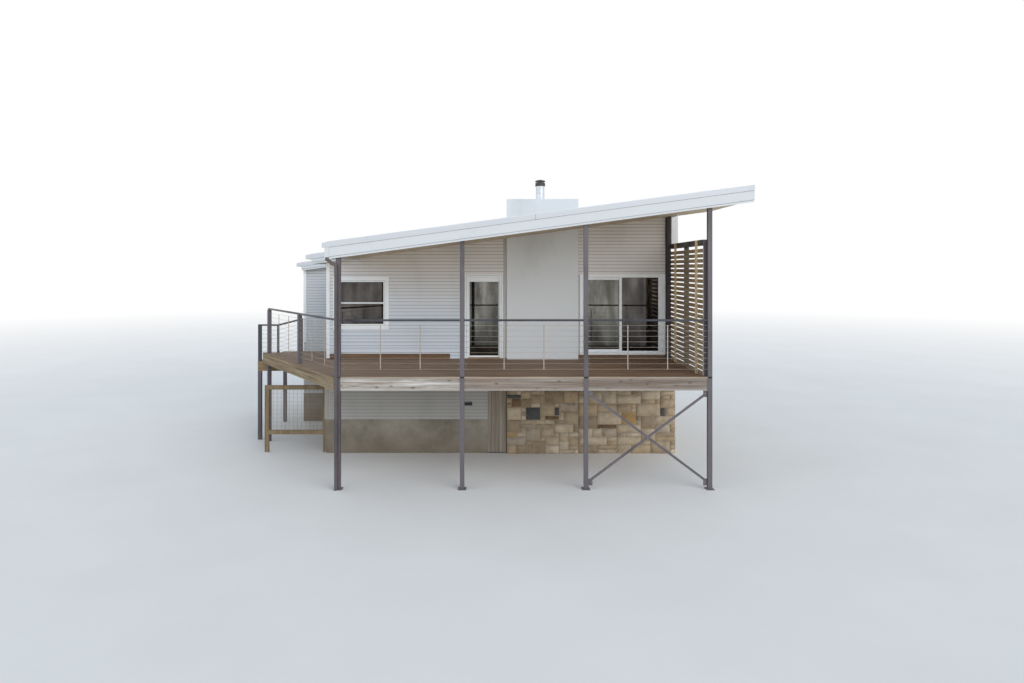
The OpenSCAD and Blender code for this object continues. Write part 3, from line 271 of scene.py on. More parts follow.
def plinth_render():
    """Stained render, browner near the ground."""
    n = Nodes("plinth_render")
    stain = n.noise(1.6, 7, 0.65)
    colour = n.ramp(stain, [(0.28, lin(114, 108, 97)), (0.55, lin(154, 147, 135)), (0.8, lin(176, 170, 158))])
    colour = n.mix(n.span(n.axis(2), 0.0, 0.7, 0.75, 0.0), colour, lin(122, 110, 94))
    return n.finish(colour, 0.9, 0.0, n.noise(34, 6, 0.7), 0.6, 0.006)


def stone_face():
    """Stones, each with its own tone, under stains and grit."""
    n = Nodes("stone")
    stain = n.noise(4.0, 8, 0.7)
    colour = n.ramp(stain, [(0.32, (0.66, 0.64, 0.61)), (0.5, (0.95, 0.93, 0.92)),
                            (0.70, (1.16, 1.14, 1.12))])
    colour = n.mix(1.0, colour, n.tone(), "MULTIPLY")
    grit = n.noise(70, 5, 0.7)
    colour = n.mix(n.span(grit, 0.55, 0.75, 0, 0.35), colour, lin(84, 72, 54))
    return n.finish(colour, 0.9, 0.0, n.noise(22, 8, 0.7), 0.5, 0.005)


def glass(name, low, high, share, reflection_tint):
    """Wavy glass. It passes a part of the light from low to high, and reflects a share more than
    plain glass does, with a painted reflection of upright soft tree shapes that is darker low down."""
    n = Nodes(name)
    clear = n.add("ShaderNodeBsdfTransparent")
    passed = n.ramp(n.noise(1.2, 3), [(0.35, (low, low, low)), (0.65, (high, high, high))])
    n.link(passed, clear.inputs["Color"])
    gloss = n.add("ShaderNodeBsdfGlossy")
    gloss.inputs["Roughness"].default_value = 0.04
    # Painted reflection of tree shapes, darker low down, in the glossy colour
    painted_tree_reflection = n.ramp(n.noise((3.6, 3.6, 1.0), 6, 0.6),
                   [(at, tuple(min(1, grey * t) for t in reflection_tint))
                    for at, grey in ((0.36, 0.25), (0.50, 0.44), (0.68, 0.76))])
    painted_low_reflection = n.span(n.axis(2), 2.8, 3.3, 0.50, 1.0)
    n.link(n.mix(1.0, painted_tree_reflection, painted_low_reflection, "MULTIPLY"), gloss.inputs["Color"])
    wave = n.add("ShaderNodeBump")
    wave.inputs["Strength"].default_value = 0.04
    wave.inputs["Distance"].default_value = 0.01
    n.link(n.noise(1.5, 2), wave.inputs["Height"])
    n.link(wave.outputs[0], gloss.inputs["Normal"])
    fresnel = n.add("ShaderNodeFresnel")
    fresnel.inputs["IOR"].default_value = 1.5
    more = n.add("ShaderNodeMath", operation="ADD")
    more.inputs[1].default_value = share
    n.link(fresnel.outputs[0], more.inputs[0])
    # No reflection inside the pane, at the faces seen from behind
    far_face = n.add("ShaderNodeNewGeometry").outputs["Backfacing"]
    factor = n.add("ShaderNodeMath", operation="MULTIPLY")
    n.link(more.outputs[0], factor.inputs[0])
    n.link(n.span(far_face, 0, 1, 1, 0), factor.inputs[1])
    both = n.add("ShaderNodeMixShader")
    n.link(factor.outputs[0], both.inputs[0])
    n.link(clear.outputs[0], both.inputs[1])
    n.link(gloss.outputs[0], both.inputs[2])
    n.tree.nodes.remove(n.bsdf)
    n.link(both.outputs[0], n.out.inputs["Surface"])
    return n.mat


def make_materials():
    """Every material, by the short name that LOOK and the added pieces use."""
    m = {}
    # Paint
    m["cladding"] = painted("cladding", lin(215, 218, 223), lin(207, 210, 214), (0.5, 0.7), toned=True)
    m["wall"] = painted("wall_paint", lin(204, 204, 202), lin(188, 187, 184), (0.5, 0.7))
    m["trim"] = painted("white_trim", lin(252, 254, 255), lin(242, 245, 249), (0.3, 0.5), grime=0.3)
    m["corner"] = corner_paint_and_shade()
    m["fascia"] = painted("fascia_paint", lin(219, 222, 227), lin(206, 210, 217), (0.3, 0.5), grime=0.2)
    m["capping"] = painted("capping_metal", lin(213, 216, 223), lin(200, 204, 213), (0.3, 0.45), 0.1, 0.2)
    m["post"] = painted("post_steel", lin(106, 101, 107), lin(78, 73, 76), (0.4, 0.6), 0.2, 0.6)
    m["pipe"] = painted("pipe_paint", lin(96, 88, 92), lin(74, 66, 68), (0.45, 0.6), 0.1, 0.6)
    m["rail"] = painted("rail_steel", lin(70, 72, 80), lin(46, 47, 52), (0.3, 0.5), 0.3, 0.5)
    m["dark"] = painted("dark_steel", lin(74, 68, 70), lin(48, 44, 46), (0.45, 0.65), 0.2, 0.5)
    m["render"] = painted("render_coat", lin(228, 230, 232), lin(216, 217, 218), (0.75, 0.9), grime=0.4,
                          scale=0.7)
    m["lining"] = painted("lining_board", lin(206, 190, 166), lin(184, 166, 142), (0.6, 0.8))
    # Painted shadow for the thin lines under the roofs' capping and fascia
    m["joint"] = painted("joint_shadow", lin(140, 144, 154), lin(120, 124, 134), (0.6, 0.8))
    # Rubber and cloth
    m["gasket"] = painted("gasket", lin(48, 48, 50), lin(30, 30, 31), (0.6, 0.8))
    m["blind"] = painted("blind_cloth", lin(74, 58, 48), lin(52, 40, 33), (0.8, 0.9))
    # Timber
    m["deck"] = timber("deck_timber", lin(155, 133, 112), lin(104, 83, 67), 0, 0.7, toned=True)
    m["edge"] = timber("edge_timber", lin(186, 172, 156), lin(140, 124, 106), 0, 0.6)
    m["joist"] = timber("joist_timber", lin(150, 134, 108), lin(108, 92, 70), 1, 0.6)
    m["landing"] = timber("landing_timber", lin(158, 138, 104), lin(108, 90, 64), 0, 0.6)
    m["panel"] = timber("panel_timber", lin(173, 161, 147), lin(124, 114, 103), 2, 0.7, toned=True)
    m["mesh_wood"] = timber("mesh_timber", lin(150, 130, 100), lin(100, 84, 60), 2, 0.6)
    m["slat"] = timber("slat_timber", lin(174, 153, 125), lin(118, 101, 81), 1, 0.7)
    m["batten"] = timber("batten_timber", lin(236, 210, 168), lin(188, 160, 120), 2, 0.6)
    m["foot"] = timber("foot_timber", lin(134, 104, 76), lin(92, 68, 48), 0, 0.6)
    m["floor"] = timber("floor_timber", lin(168, 128, 84), lin(116, 82, 50), 0, 0.6)
    m["rafter"] = timber("rafter_timber", lin(196, 168, 124), lin(150, 122, 84), 0, 0.6)
    m["beam"] = beam_timber()
    # Bare metal
    m["wire"] = mottled("wire_steel", lin(152, 141, 130), lin(194, 183, 171), (30, 3),
                        0.38, 0.6, (300, 2), 0.1, 0.0005)
    m["bright"] = mottled("bright_metal", lin(150, 152, 154), lin(205, 206, 208), ((20, 20, 300), 3),
                          0.3, 0.9, ((40, 40, 400), 2), 0.1, 0.0005)
    m["flue"] = mottled("flue_metal", lin(204, 208, 214), lin(230, 233, 239), ((3, 3, 14), 5),
                        0.35, 0.5, ((8, 8, 80), 3), 0.12, 0.001)
    m["roof"] = mottled("roof_sheet", lin(208, 211, 215), lin(226, 229, 233), ((0.5, 2.5, 1), 6),
                        0.4, 0.3, (60, 3), 0.08, 0.001)
    # Masonry
    m["mortar"] = mottled("mortar", lin(152, 137, 116), lin(190, 175, 152), (9, 6),
                          0.95, 0.0, (80, 5, 0.7), 0.6, 0.004)
    m["plinth"] = plinth_render()
    m["stone"] = stone_face()
    # Glass of the doors, of the windows and over the screen
    m["glass"] = glass("glass", 0.20, 0.30, 0.20, (1.36, 1.31, 1.17))
    m["pane"] = glass("pane", 0.20, 0.30, 0.18, (0.80, 0.74, 0.70))
    m["clear_glass"] = glass("clear_glass", 0.86, 0.92, 0.02, (1.0, 1.0, 1.0))
    return m


M = make_materials()


# ---------------------------------------------------------------- mesh builder

class Build:
    """Closed solids in the part's own metres, made into one object."""

    def __init__(self):
        self.v, self.f, self.t = [], [], []

    def solid(self, points, faces, tone=(1, 1, 1)):
        """Faces over points, with one tone or a list of a tone for each face."""
        first = len(self.v)
        self.v += [tuple(p) for p in points]
        self.f += [tuple(first + i for i in f) for f in faces]
        self.t += tone if isinstance(tone, list) else [tone] * len(faces)

    def box(self, a, b, tone=(1, 1, 1)):
        """Box between two opposite corners."""
        x0, y0, z0 = (min(p, q) for p, q in zip(a, b))
        x1, y1, z1 = (max(p, q) for p, q in zip(a, b))
        self.solid([(x0, y0, z0), (x1, y0, z0), (x1, y1, z0), (x0, y1, z0),
                    (x0, y0, z1), (x1, y0, z1), (x1, y1, z1), (x0, y1, z1)],
                   [(0, 3, 2, 1), (4, 5, 6, 7), (0, 1, 5, 4), (1, 2, 6, 5), (2, 3, 7, 6), (3, 0, 4, 7)],
                   tone)

    def prism(self, outline, z0, z1, tone):
        """Upright prism over an anticlockwise outline in plan."""
        k = len(outline)
        points = [(x, y, z0) for x, y in outline] + [(x, y, z1) for x, y in outline]
        faces = [tuple(reversed(range(k))), tuple(range(k, 2 * k))]
        faces += [(i, (i + 1) % k, k + (i + 1) % k, k + i) for i in range(k)]
        self.solid(points, faces, tone)

    def rod(self, p, q, r, sides):
        """Round rod from p to q."""
        p, q = Vector(p), Vector(q)
        d = (q - p).normalized()
        a = d.orthogonal().normalized()
        b = d.cross(a)
        ring = [a * math.cos(2 * math.pi * i / sides) + b * math.sin(2 * math.pi * i / sides)
                for i in range(sides)]
        points = [p + c * r for c in ring] + [q + c * r for c in ring]
        faces = [(i, (i + 1) % sides, sides + (i + 1) % sides, sides + i) for i in range(sides)]
        faces += [tuple(reversed(range(sides))), tuple(range(sides, 2 * sides))]
        self.solid(points, faces)

    def make(self, name, material, body="house", bevel=0.0, smooth=False):
        """One object of all the solids, with outward faces, that rides a body."""
        mesh = bpy.data.meshes.new(name)
        mesh.from_pydata([(x + OX, y + OY, z) for x, y, z in self.v], [], self.f)
        tone = mesh.attributes.new("tone", "FLOAT_COLOR", "CORNER")
        values = []
        for face, t in zip(self.f, self.t):
            values += [t[0], t[1], t[2], 1.0] * len(face)
        tone.data.foreach_set("color", values)
        mesh.materials.append(material)
        outward = bmesh.new()
        outward.from_mesh(mesh)
        bmesh.ops.recalc_face_normals(outward, faces=outward.faces)
        outward.to_mesh(mesh)
        outward.free()
        for face in mesh.polygons:
            face.use_smooth = smooth and len(face.vertices) <= 4
        obj = bpy.data.objects.new(name, mesh)
        bpy.context.scene.collection.objects.link(obj)
        if bevel:
            mod = obj.modifiers.new("edges", "BEVEL")
            mod.width = bevel
            mod.segments = 2
            mod.limit_method = "ANGLE"
        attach(obj, body)
        return obj


def shade(spread, base=(1, 1, 1)):
    """Colour darker or lighter at random, by up to a spread. Only a toned material shows it."""
    k = 1 + rng.uniform(-spread, spread)
    return tuple(c * k for c in base)


# ---------------------------------------------------------------- weatherboards

PITCH = 0.083
BOARD_OUT, BOARD_IN, BOARD_BACK = 0.020, 0.003, -0.001  # face at the foot, face at the head, back
# Painted shade on the boards' lips, their undersides
LIP_SHADE = (0.42, 0.41, 0.41)
SHADE_H, SHADE = 0.012, 0.53  # painted shade: dark strip under the next board's lap
# Painted bounce light from the deck: boards creamier from this height up
BOUNCE_LIGHT_Z, BOUNCE_LIGHT_RISE, BOUNCE_LIGHT_TINT = 3.2, 1.3, (0.165, 0.045, -0.07)
# Painted shade on the skirt boards under the deck
SKIRT_SHADE = (0.69, 0.655, 0.60)
# A slighter painted shade on the skirts of the other walls
SIDE_SKIRT_SHADE = (0.96, 0.955, 0.945)
# Front wall boards painted lighter and bluer than the others: painted sky light
FRONT_LIGHT = (1.09, 1.115, 1.155)
NO_TOP = 9  # above every roof


def clip(points, a, b):
    """Part of a flat outline in (u, z) where z is at or under a + b u."""
    kept = []
    for i, p in enumerate(points):
        q = points[(i + 1) % len(points)]
        fp, fq = a + b * p[0] - p[1], a + b * q[0] - q[1]
        if fp >= 0:
            kept.append(p)
        if (fp > 0 > fq) or (fp < 0 < fq):
            s = fp / (fp - fq)
            kept.append((p[0] + s * (q[0] - p[0]), p[1] + s * (q[1] - p[1])))
    return kept


def clad(build, start, along, out, u1, z0, z1, top, holes, paint_and_light=(1, 1, 1), bounce_light_share=0.0):
    """Lapped boards on a wall face, from start in plan, cut round holes given in (u, z) and under a
    sloping top. A share of painted bounce light from the deck makes the boards under the roof creamier,
    higher up more than below."""
    def place(u, z, d):
        """Point of the wall face, along it, up it and out from it."""
        return (start[0] + along[0] * u + out[0] * d, start[1] + along[1] * u + out[1] * d, z)

    def strip(outline, base, foot, tone):
        """A closed piece of the board on a base, with painted shade on the lip where it is the board's foot.
        """
        n = len(outline)
        points = [place(u, z, BOARD_OUT + (BOARD_IN - BOARD_OUT) * (z - base) / PITCH) for u, z in outline]
        points += [place(u, z, BOARD_BACK) for u, z in outline]
        lower = [i for i in range(n) if foot - base < 0.001
                 and max(abs(outline[i][1] - foot), abs(outline[(i + 1) % n][1] - foot)) < 1e-6]
        edges = [(n + i, n + (i + 1) % n, (i + 1) % n, i) for i in range(n)]
        build.solid(points, [tuple(range(n)), tuple(reversed(range(n, 2 * n)))] + edges,
                    [tone, tone] + [LIP_SHADE if i in lower else tone for i in range(n)])

    k = math.floor((z0 - DECK) / PITCH)
    while DECK + k * PITCH < z1:
        base = DECK + k * PITCH
        # Painted bounce light: boards creamier high under the roof
        bounce_light = bounce_light_share * min(1, max(0, (base - BOUNCE_LIGHT_Z) / BOUNCE_LIGHT_RISE))
        full = tuple(c * (1 + more * bounce_light) for c, more in zip(shade(0.015, paint_and_light), BOUNCE_LIGHT_TINT))
        under = base + PITCH - SHADE_H
        low, high = max(base, z0), min(base + PITCH, z1)
        breaks = (under, *(z for h in holes for z in h[2:]))
        cuts = sorted({low, high, *(z for z in breaks if low < z < high)})
        for za, zb in zip(cuts, cuts[1:]):
            mid = (za + zb) / 2
            # Painted shade on the top of each board, under the next one's lap
            tone = tuple(c * SHADE for c in full) if mid > under else full
            spans = [(0.0, u1)]
            for h in holes:
                if h[2] < mid < h[3]:
                    parts = [part for a, b in spans for part in ((a, min(b, h[0])), (max(a, h[1]), b))]
                    spans = [(a, b) for a, b in parts if b - a > 0.001]
            for a, b in spans:
                outline = [(a, za), (b, za), (b, zb), (a, zb)]
                if top:
                    outline = clip(outline, *top)
                if len(outline) > 2:
                    strip(outline, base, za, tone)
        k += 1


def lining(x):
    """Height of the deck roof's lining."""
    return roof(x) - 0.30


def soffit(x):
    """Height of the house roof's underside."""
    return roof(x) - 0.269


def window_hole(u):
    """Hole for a window and its trim, where the window starts at u along the wall."""
    return (u - TRIM, u + WIN_W + TRIM, WIN_Z0 - TRIM, WIN_Z0 + WIN_H + TRIM)


boards = Build()
FOOT_X1, FOOT_TOP = 2.10, DECK + 0.125  # timber board along the wall's foot
CHIM_TRIM, REVEAL = 0.09, 0.03
clad(boards, (HOUSE_X0, WALL_Y), (1, 0), (0, -1), WALL_L, DECK + 0.004, NO_TOP, (lining(HOUSE_X0), SLOPE), [
    window_hole(WIN_X0 - HOUSE_X0),
    (DOOR_X0 - REVEAL - HOUSE_X0, CHIM_X0 - HOUSE_X0, 0, DOOR_TOP + REVEAL),
    (CHIM_X0 - CHIM_TRIM - HOUSE_X0, CHIM_X1 - HOUSE_X0, 0, NO_TOP),
    (CHIM_X1 - HOUSE_X0, WALL_L, 0, SLIDE_TOP + REVEAL),
    (0, FOOT_X1 - HOUSE_X0, 0, FOOT_TOP),
    (0, CORNER, 0, NO_TOP),
], FRONT_LIGHT, bounce_light_share=1.0)
# Skirt boards under the deck, darker in painted shade
clad(boards, (HOUSE_X0, WALL_Y), (1, 0), (0, -1), PANEL_X0 - HOUSE_X0, PLINTH + 0.002, FLOOR_UNDER,
     None, [(0, CORNER, 0, NO_TOP)], SKIRT_SHADE)
rear_l = HOUSE_X1 - WING_X0
# Walls boarded down to the plinth, with the skirt below the floor a little darker in painted shade
for start, along, out, length, top_z, top, holes in (
        ((HOUSE_X0, WALL_Y), (0, 1), (-1, 0), WING_Y - WALL_Y, soffit(HOUSE_X0), None, []),
        ((WING_X0, WING_Y), (1, 0), (0, -1), HOUSE_X0 - WING_X0, NO_TOP, (soffit(WING_X0), SLOPE),
         [(0, CORNER, DECK, NO_TOP)]),
        ((WING_X0, WING_Y), (0, 1), (-1, 0), REAR_Y - WING_Y, soffit(WING_X0), None,
         [window_hole(WING_WINDOW_Y - WING_Y)]),
        ((WING_X0, REAR_Y), (1, 0), (0, 1), rear_l, NO_TOP, (soffit(WING_X0), SLOPE),
         [window_hole(x - WING_X0) for x in REAR_WINDOWS]
         + [(0, CORNER, FLOOR_UNDER, NO_TOP), (rear_l - CORNER, rear_l, FLOOR_UNDER, NO_TOP)])):
    clad(boards, start, along, out, length, PLINTH + 0.002, FLOOR_UNDER, top, holes, SIDE_SKIRT_SHADE)
    clad(boards, start, along, out, length, FLOOR_UNDER, top_z, top, holes)
clad(boards, (HOUSE_X1, WALL_Y), (0, 1), (1, 0), REAR_Y - WALL_Y, FLOOR_UNDER, soffit(HOUSE_X1), None,
     [window_hole(RIGHT_WINDOW)])
boards.make("weatherboards", M["cladding"])

# White corner boards on the side faces, and the returns of the front ones
corners = Build()
for x, y in ((HOUSE_X0, WALL_Y), (WING_X0, WING_Y)):
    corners.box((x - CORNER_OUT, y - CORNER_OUT, DECK + 0.015), (x, y + 0.05, soffit(x) - 0.004), shade(0.01))
for x, side in ((WING_X0, -1), (HOUSE_X1, 1)):
    corners.box((x + side * CORNER_OUT, REAR_Y - 0.05, FLOOR_UNDER),
                (x, REAR_Y + CORNER_OUT, soffit(x) - 0.004), shade(0.01))
corners.box((HOUSE_X1, WALL_Y + 0.004, FLOOR_UNDER),
            (HOUSE_X1 + CORNER_OUT, WALL_Y + 0.06, lining(HOUSE_X1) - 0.004))
corners.box((WING_X0 - CORNER_OUT, REAR_Y - 0.05, PLINTH + 0.004),
            (WING_X0 + CORNER, REAR_Y + CORNER_OUT, FLOOR_UNDER))
for x, y in ((HOUSE_X0, WALL_Y), (WING_X0, WING_Y)):
    corners.box((x - CORNER_OUT, y - 0.010, PLINTH + 0.004), (x, y + 0.05, DECK - 0.06))
corners.make("corner_boards", M["trim"], bevel=0.002)

flashing = Build()
flashing.box((HOUSE_X1 + 0.001, WALL_Y - 0.05, DECK + 0.002),
             (HOUSE_X1 + 0.026, WALL_Y + 0.003, lining(HOUSE_X1) - 0.008))
flashing.make("wall_end_flashing", M["dark"])


# ---------------------------------------------------------------- deck

PLANK_W, PLANK_GAP, PLANK_T = 0.088, 0.005, 0.028
JOINT = 0.003
JOIST_STEP = 0.45
deck = Build()
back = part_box("landing")[0][1] - OY
left_out = POST / 2 + 0.06 + JOINT
limit = WALL_Y - JOINT
y = -POST / 2
while y < back:
    y1 = min(y + PLANK_W, back)
    x_right = BAY * 3 + POST / 2 if y1 <= limit + 0.02 else HOUSE_X0 - JOINT
    y1 = min(y1, limit) if y < limit - 0.02 else y1
    xa, xb = side_x(y, left_out), side_x(y1, left_out)
    # Butt joints fall on joists, at random lengths of plank
    cuts = [x_right]
    x = x_right - rng.uniform(0.9, 3.2)
    while x > max(xa, xb) + 0.5:
        cuts.append(HOUSE_X0 + JOIST_STEP * round((x - HOUSE_X0) / JOIST_STEP) + 0.022)
        x -= rng.uniform(2.4, 4.2)
    for right, left in zip(cuts, cuts[1:] + [None]):
        la, lb = (xa, xb) if left is None else (left + JOINT, left + JOINT)
        # Redder towards the screen, and darker there in painted shade of the screen
        red = min(1, max(0, ((right + (xa if left is None else left)) / 2 - 1.0) / 4.5))
        dark = 0.94 - 0.14 * red
        base = (dark * (1.0 + 0.05 * red), dark * (0.98 - 0.08 * red), dark * (0.95 - 0.14 * red))
        deck.prism([(la, y), (right, y), (right, y1), (lb, y1)], DECK - PLANK_T, DECK - 0.0005 * rng.random(),
                   shade(0.17, base))
    y = y1 + PLANK_GAP
deck_obj = deck.make("deck_planks", M["deck"], bevel=0.002)
edge = Build()
for i in range(3):
    edge.box((i * BAY + POST / 2 + 0.004, -POST / 2 - 0.004, DECK - 0.030),
             ((i + 1) * BAY - POST / 2 - 0.004, -POST / 2, DECK - 0.001), shade(0.05))
edge.make("deck_edge_board", M["edge"], bevel=0.001)
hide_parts("deck_boards")


# ---------------------------------------------------------------- stone base

CELL_W, CELL_H = 0.118, 0.102
SIZES = [(3, 2), (4, 2), (2, 2), (5, 2), (4, 2), (3, 2), (5, 3),
         (4, 3), (6, 2), (3, 3), (3, 1), (4, 1), (2, 1)]  # in cells, the commoner ones twice
BUFF = [lin(190, 174, 151), lin(180, 163, 139), lin(198, 183, 161), lin(171, 154, 131), lin(206, 192, 171),
        lin(186, 166, 137), lin(162, 145, 123), lin(178, 165, 148)]
DARK = lin(84, 86, 88)
ORANGE = lin(184, 152, 106)
BROWN = lin(122, 99, 76)


def lay_stones(cols, rows, cw, ch, marked):
    """Stones that fill a grid of cells: column, row, columns, rows, and a marked one's colour."""
    taken = [[False] * cols for _ in range(rows)]
    stones = []
    for u, z, w, h, colour in marked:
        c0, r0 = int(u / cw), int(z / ch)
        wc, hc = max(1, round(w / cw)), max(1, round(h / ch))
        cells = [(r, c) for r in range(r0, min(rows, r0 + hc)) for c in range(c0, min(cols, c0 + wc))]
        if cells and not any(taken[r][c] for r, c in cells):
            for r, c in cells:
                taken[r][c] = True
            stones.append((c0, r0, wc, hc, colour))
    for r in range(rows):
        for c in range(cols):
            if taken[r][c]:
                continue
            options = SIZES[:]
            rng.shuffle(options)
            for w, h in options + [(1, 1)]:
                if c + w <= cols and r + h <= rows and not any(
                        taken[i][j] for i in range(r, r + h) for j in range(c, c + w)):
                    break
            for i in range(r, r + h):
                for j in range(c, c + w):
                    taken[i][j] = True
            stones.append((c, r, w, h, None))
    return stones


def stone_grid(u0, u1, z0, z1, proud, turn, seed):
    """Rows of (u, z, out) over one stone: an uneven face that stands proud, with rounded rims."""
    du, dz = u1 - u0, z1 - z0
    nu, nz = max(4, int(du / 0.06)), max(4, int(dz / 0.06))
    rim_u, rim_z = 0.009 / du, 0.009 / dz
    grid = []
    for iz in range(nz + 1):
        grid.append([])
        for iu in range(nu + 1):
            su = min(1, max(0, rim_u + (1 - 2 * rim_u) * (iu - 1) / (nu - 2)))
            sz = min(1, max(0, rim_z + (1 - 2 * rim_z) * (iz - 1) / (nz - 2)))
            near = min(min(su, 1 - su) * du, min(sz, 1 - sz) * dz)
            rough_u = noise.noise(Vector((u0 * 7 + su * 3, z0 * 9 + sz * 3, 1.7))) * 0.008
            rough_z = noise.noise(Vector((u0 * 5 + su * 3, z0 * 6 + sz * 3, 8.1))) * 0.008
            u = u0 + su * du + (rough_u if 0 < iu < nu else abs(rough_u) * (1 if iu == 0 else -1))
            z = z0 + sz * dz + (rough_z if 0 < iz < nz else abs(rough_z) * (1 if iz == 0 else -1))
            d = -0.004
            if near > 0:
                d = proud * min(1, (near / 0.012) ** 0.5)
                d += noise.noise(Vector((u * 11, z * 11, seed))) * 0.005 + turn * (su - 0.5)
            grid[-1].append((u, z, d))
    return grid


def stone_wall(build, start, along, out, width, height, marked=()):
    """Random squared stones on a wall face, with a few marked ones in set places."""
    cols, rows = max(1, round(width / CELL_W)), max(1, round(height / CELL_H))
    cw, ch = width / cols, height / rows
    for c, r, w, h, colour in lay_stones(cols, rows, cw, ch, marked):
        if colour is None:
            colour = rng.choice(BUFF)
            if w * h < 4 and rng.random() < 0.05:
                colour = rng.choice([DARK, ORANGE, BROWN])
        tone = shade(0.07, colour[:3])
        proud, turn = rng.uniform(0.012, 0.022), rng.uniform(-0.006, 0.006)
        grid = stone_grid(c * cw + 0.004, (c + w) * cw - 0.004, r * ch + 0.004, (r + h) * ch - 0.004,
                          proud, turn, c + r * 3.3)
        nu, nz = len(grid[0]) - 1, len(grid) - 1
        index = {(iu, iz): iz * (nu + 1) + iu for iz in range(nz + 1) for iu in range(nu + 1)}
        faces = [(index[iu, iz], index[iu + 1, iz], index[iu + 1, iz + 1], index[iu, iz + 1])
                 for iz in range(nz) for iu in range(nu)]
        rim = [(iu, 0) for iu in range(nu)] + [(nu, iz) for iz in range(nz)]
        rim += [(iu, nz) for iu in range(nu, 0, -1)] + [(0, iz) for iz in range(nz, 0, -1)]
        build.solid([(start[0] + along[0] * u + out[0] * d, start[1] + along[1] * u + out[1] * d, z)
                     for row in grid for u, z, d in row],
                    faces + [tuple(index[i] for i in reversed(rim))], tone)


STONE_TOP = FLOOR_UNDER - 0.004
END_X, STUB_L = HOUSE_X1 + 0.22, 0.25  # the stone wall's stub beyond the house's right corner
STUB_Y0 = WALL_Y - 0.06
STUB_Y1 = STUB_Y0 + STUB_L
stones = Build()
# Dark, orange and brown stones that stand out: distance along, height, width, height of the stone
# The first dark stone, at the top left, is painted shadow below the beam
stone_wall(stones, (CHIM_X0, CHIM_Y), (1, 0), (0, -1), CHIM_X1 - CHIM_X0, 2.285, [
    (0.03, 1.36, 0.36, 0.12, DARK), (0.17, 1.17, 0.25, 0.20, BROWN), (0.55, 0.85, 0.40, 0.26, DARK),
    (1.235, 1.03, 0.17, 0.17, DARK), (1.02, 0.86, 0.36, 0.13, BROWN), (0.04, 0.445, 0.28, 0.14, ORANGE)])
stone_wall(stones, (CHIM_X1, STUB_Y0), (1, 0), (0, -1), END_X - CHIM_X1, STONE_TOP, [
    (1.18, 0.74, 0.34, 0.27, ORANGE), (2.07, 0.94, 0.13, 0.155, DARK), (0.54, 0.67, 0.48, 0.09, BROWN)])
stone_wall(stones, (END_X, STUB_Y0), (0, 1), (1, 0), STUB_L, STONE_TOP)
stone_wall(stones, (HOUSE_X1 + 0.06, STUB_Y1), (1, 0), (0, 1), 0.16, STONE_TOP)
stone_wall(stones, (HOUSE_X1 + 0.06, STUB_Y1), (0, 1), (1, 0), REAR_Y - 0.11 - STUB_Y1, STONE_TOP)
stones.make("stone_blocks", M["stone"], smooth=True)


# ---------------------------------------------------------------- base: panel boards, vent

panel = Build()
x = PANEL_X0
while x < CHIM_X0 - 0.005:
    w = min(0.092, CHIM_X0 - 0.002 - x)
    panel.box((x + 0.002, WALL_Y - 0.016 - 0.003 * rng.random(), 0.02),
              (x + w - 0.003, WALL_Y, FLOOR_UNDER - 0.004), shade(0.14))
    x += w
panel.make("panel_boards", M["panel"], bevel=0.002)

VENT_X, VENT_Z, VENT_W, VENT_H, RIM = 2.455, 1.17, 0.19, 0.095, 0.012
vent = Build()


def vent_box(x0, x1, z0, z1, d0, d1):
    """Box in the vent's own frame, from a depth to a depth before the wall."""
    vent.box((VENT_X + x0, WALL_Y - d0, VENT_Z + z0), (VENT_X + x1, WALL_Y - d1, VENT_Z + z1))


vent_box(0, VENT_W, 0, RIM, 0.024, 0.004)
vent_box(0, VENT_W, VENT_H - RIM, VENT_H, 0.024, 0.004)
vent_box(0, RIM, 0, VENT_H, 0.024, 0.004)
vent_box(VENT_W - RIM, VENT_W, 0, VENT_H, 0.024, 0.004)
for i in range(5):
    louvre = 0.016 + i * 0.0135
    vent_box(RIM, VENT_W - RIM, louvre, louvre + 0.005, 0.021, 0.015)
vent_box(0.01, VENT_W - 0.01, 0.01, VENT_H - 0.01, 0.0175, 0.017)
vent.make("base_vent", M["gasket"])


# ---------------------------------------------------------------- roof sheets and fixings

ROOF_X0, ROOF_X1 = EAVE_X, BAY * 3 + 0.893
ROOF_Y0, ROOF_Y1 = -0.12, 10.05
STEP = 0.058  # from the deck's roof down to the house's
SIDE_X0, SIDE_Y0 = HOUSE_X0 - 0.46, WALL_Y - 0.27
LOW_X0, LOW_Y0 = WING_X0 - 0.175, WING_Y - 0.20
HIGH_X = HOUSE_X1 + 0.12
TAIL_Y = WALL_Y + 0.06
RIB_STEP = 0.2
ribs = Build()


def rib(xa, xb, y, drop):
    """Raised rib along the slope of a sheet that lies a drop below the deck's roof."""
    points = []
    for x in (xa, xb):
        z = roof(x) - drop - 0.004
        points += [(x, y - 0.016, z - 0.002), (x, y - 0.009, z + 0.024),
                   (x, y + 0.009, z + 0.024), (x, y + 0.016, z - 0.002)]
    ribs.solid(points, [(0, 1, 5, 4), (1, 2, 6, 5), (2, 3, 7, 6), (0, 3, 2, 1), (4, 5, 6, 7), (0, 4, 7, 3)])


for i in range(14):
    rib(ROOF_X0 + 0.075, ROOF_X1 - 0.10, ROOF_Y0 + 0.11 + RIB_STEP * i, 0)
y = SIDE_Y0 + 0.12
while y < ROOF_Y1 - 0.1:
    left = (SIDE_X0 if y < LOW_Y0 + 0.1 else LOW_X0) + 0.075
    if y < WALL_Y + 0.03:
        rib(left, ROOF_X0 - 0.02, y, STEP)
    elif y < CHIM_Y + CHIM_D:
        rib(left, CHIM_X0 - 0.03, y, STEP)
        rib(CHIM_X1 + 0.03, HIGH_X - 0.10, y, STEP)
    else:
        rib(left, HIGH_X - 0.10, y, STEP)
    y += RIB_STEP
ribs.make("roof_ribs", M["roof"])


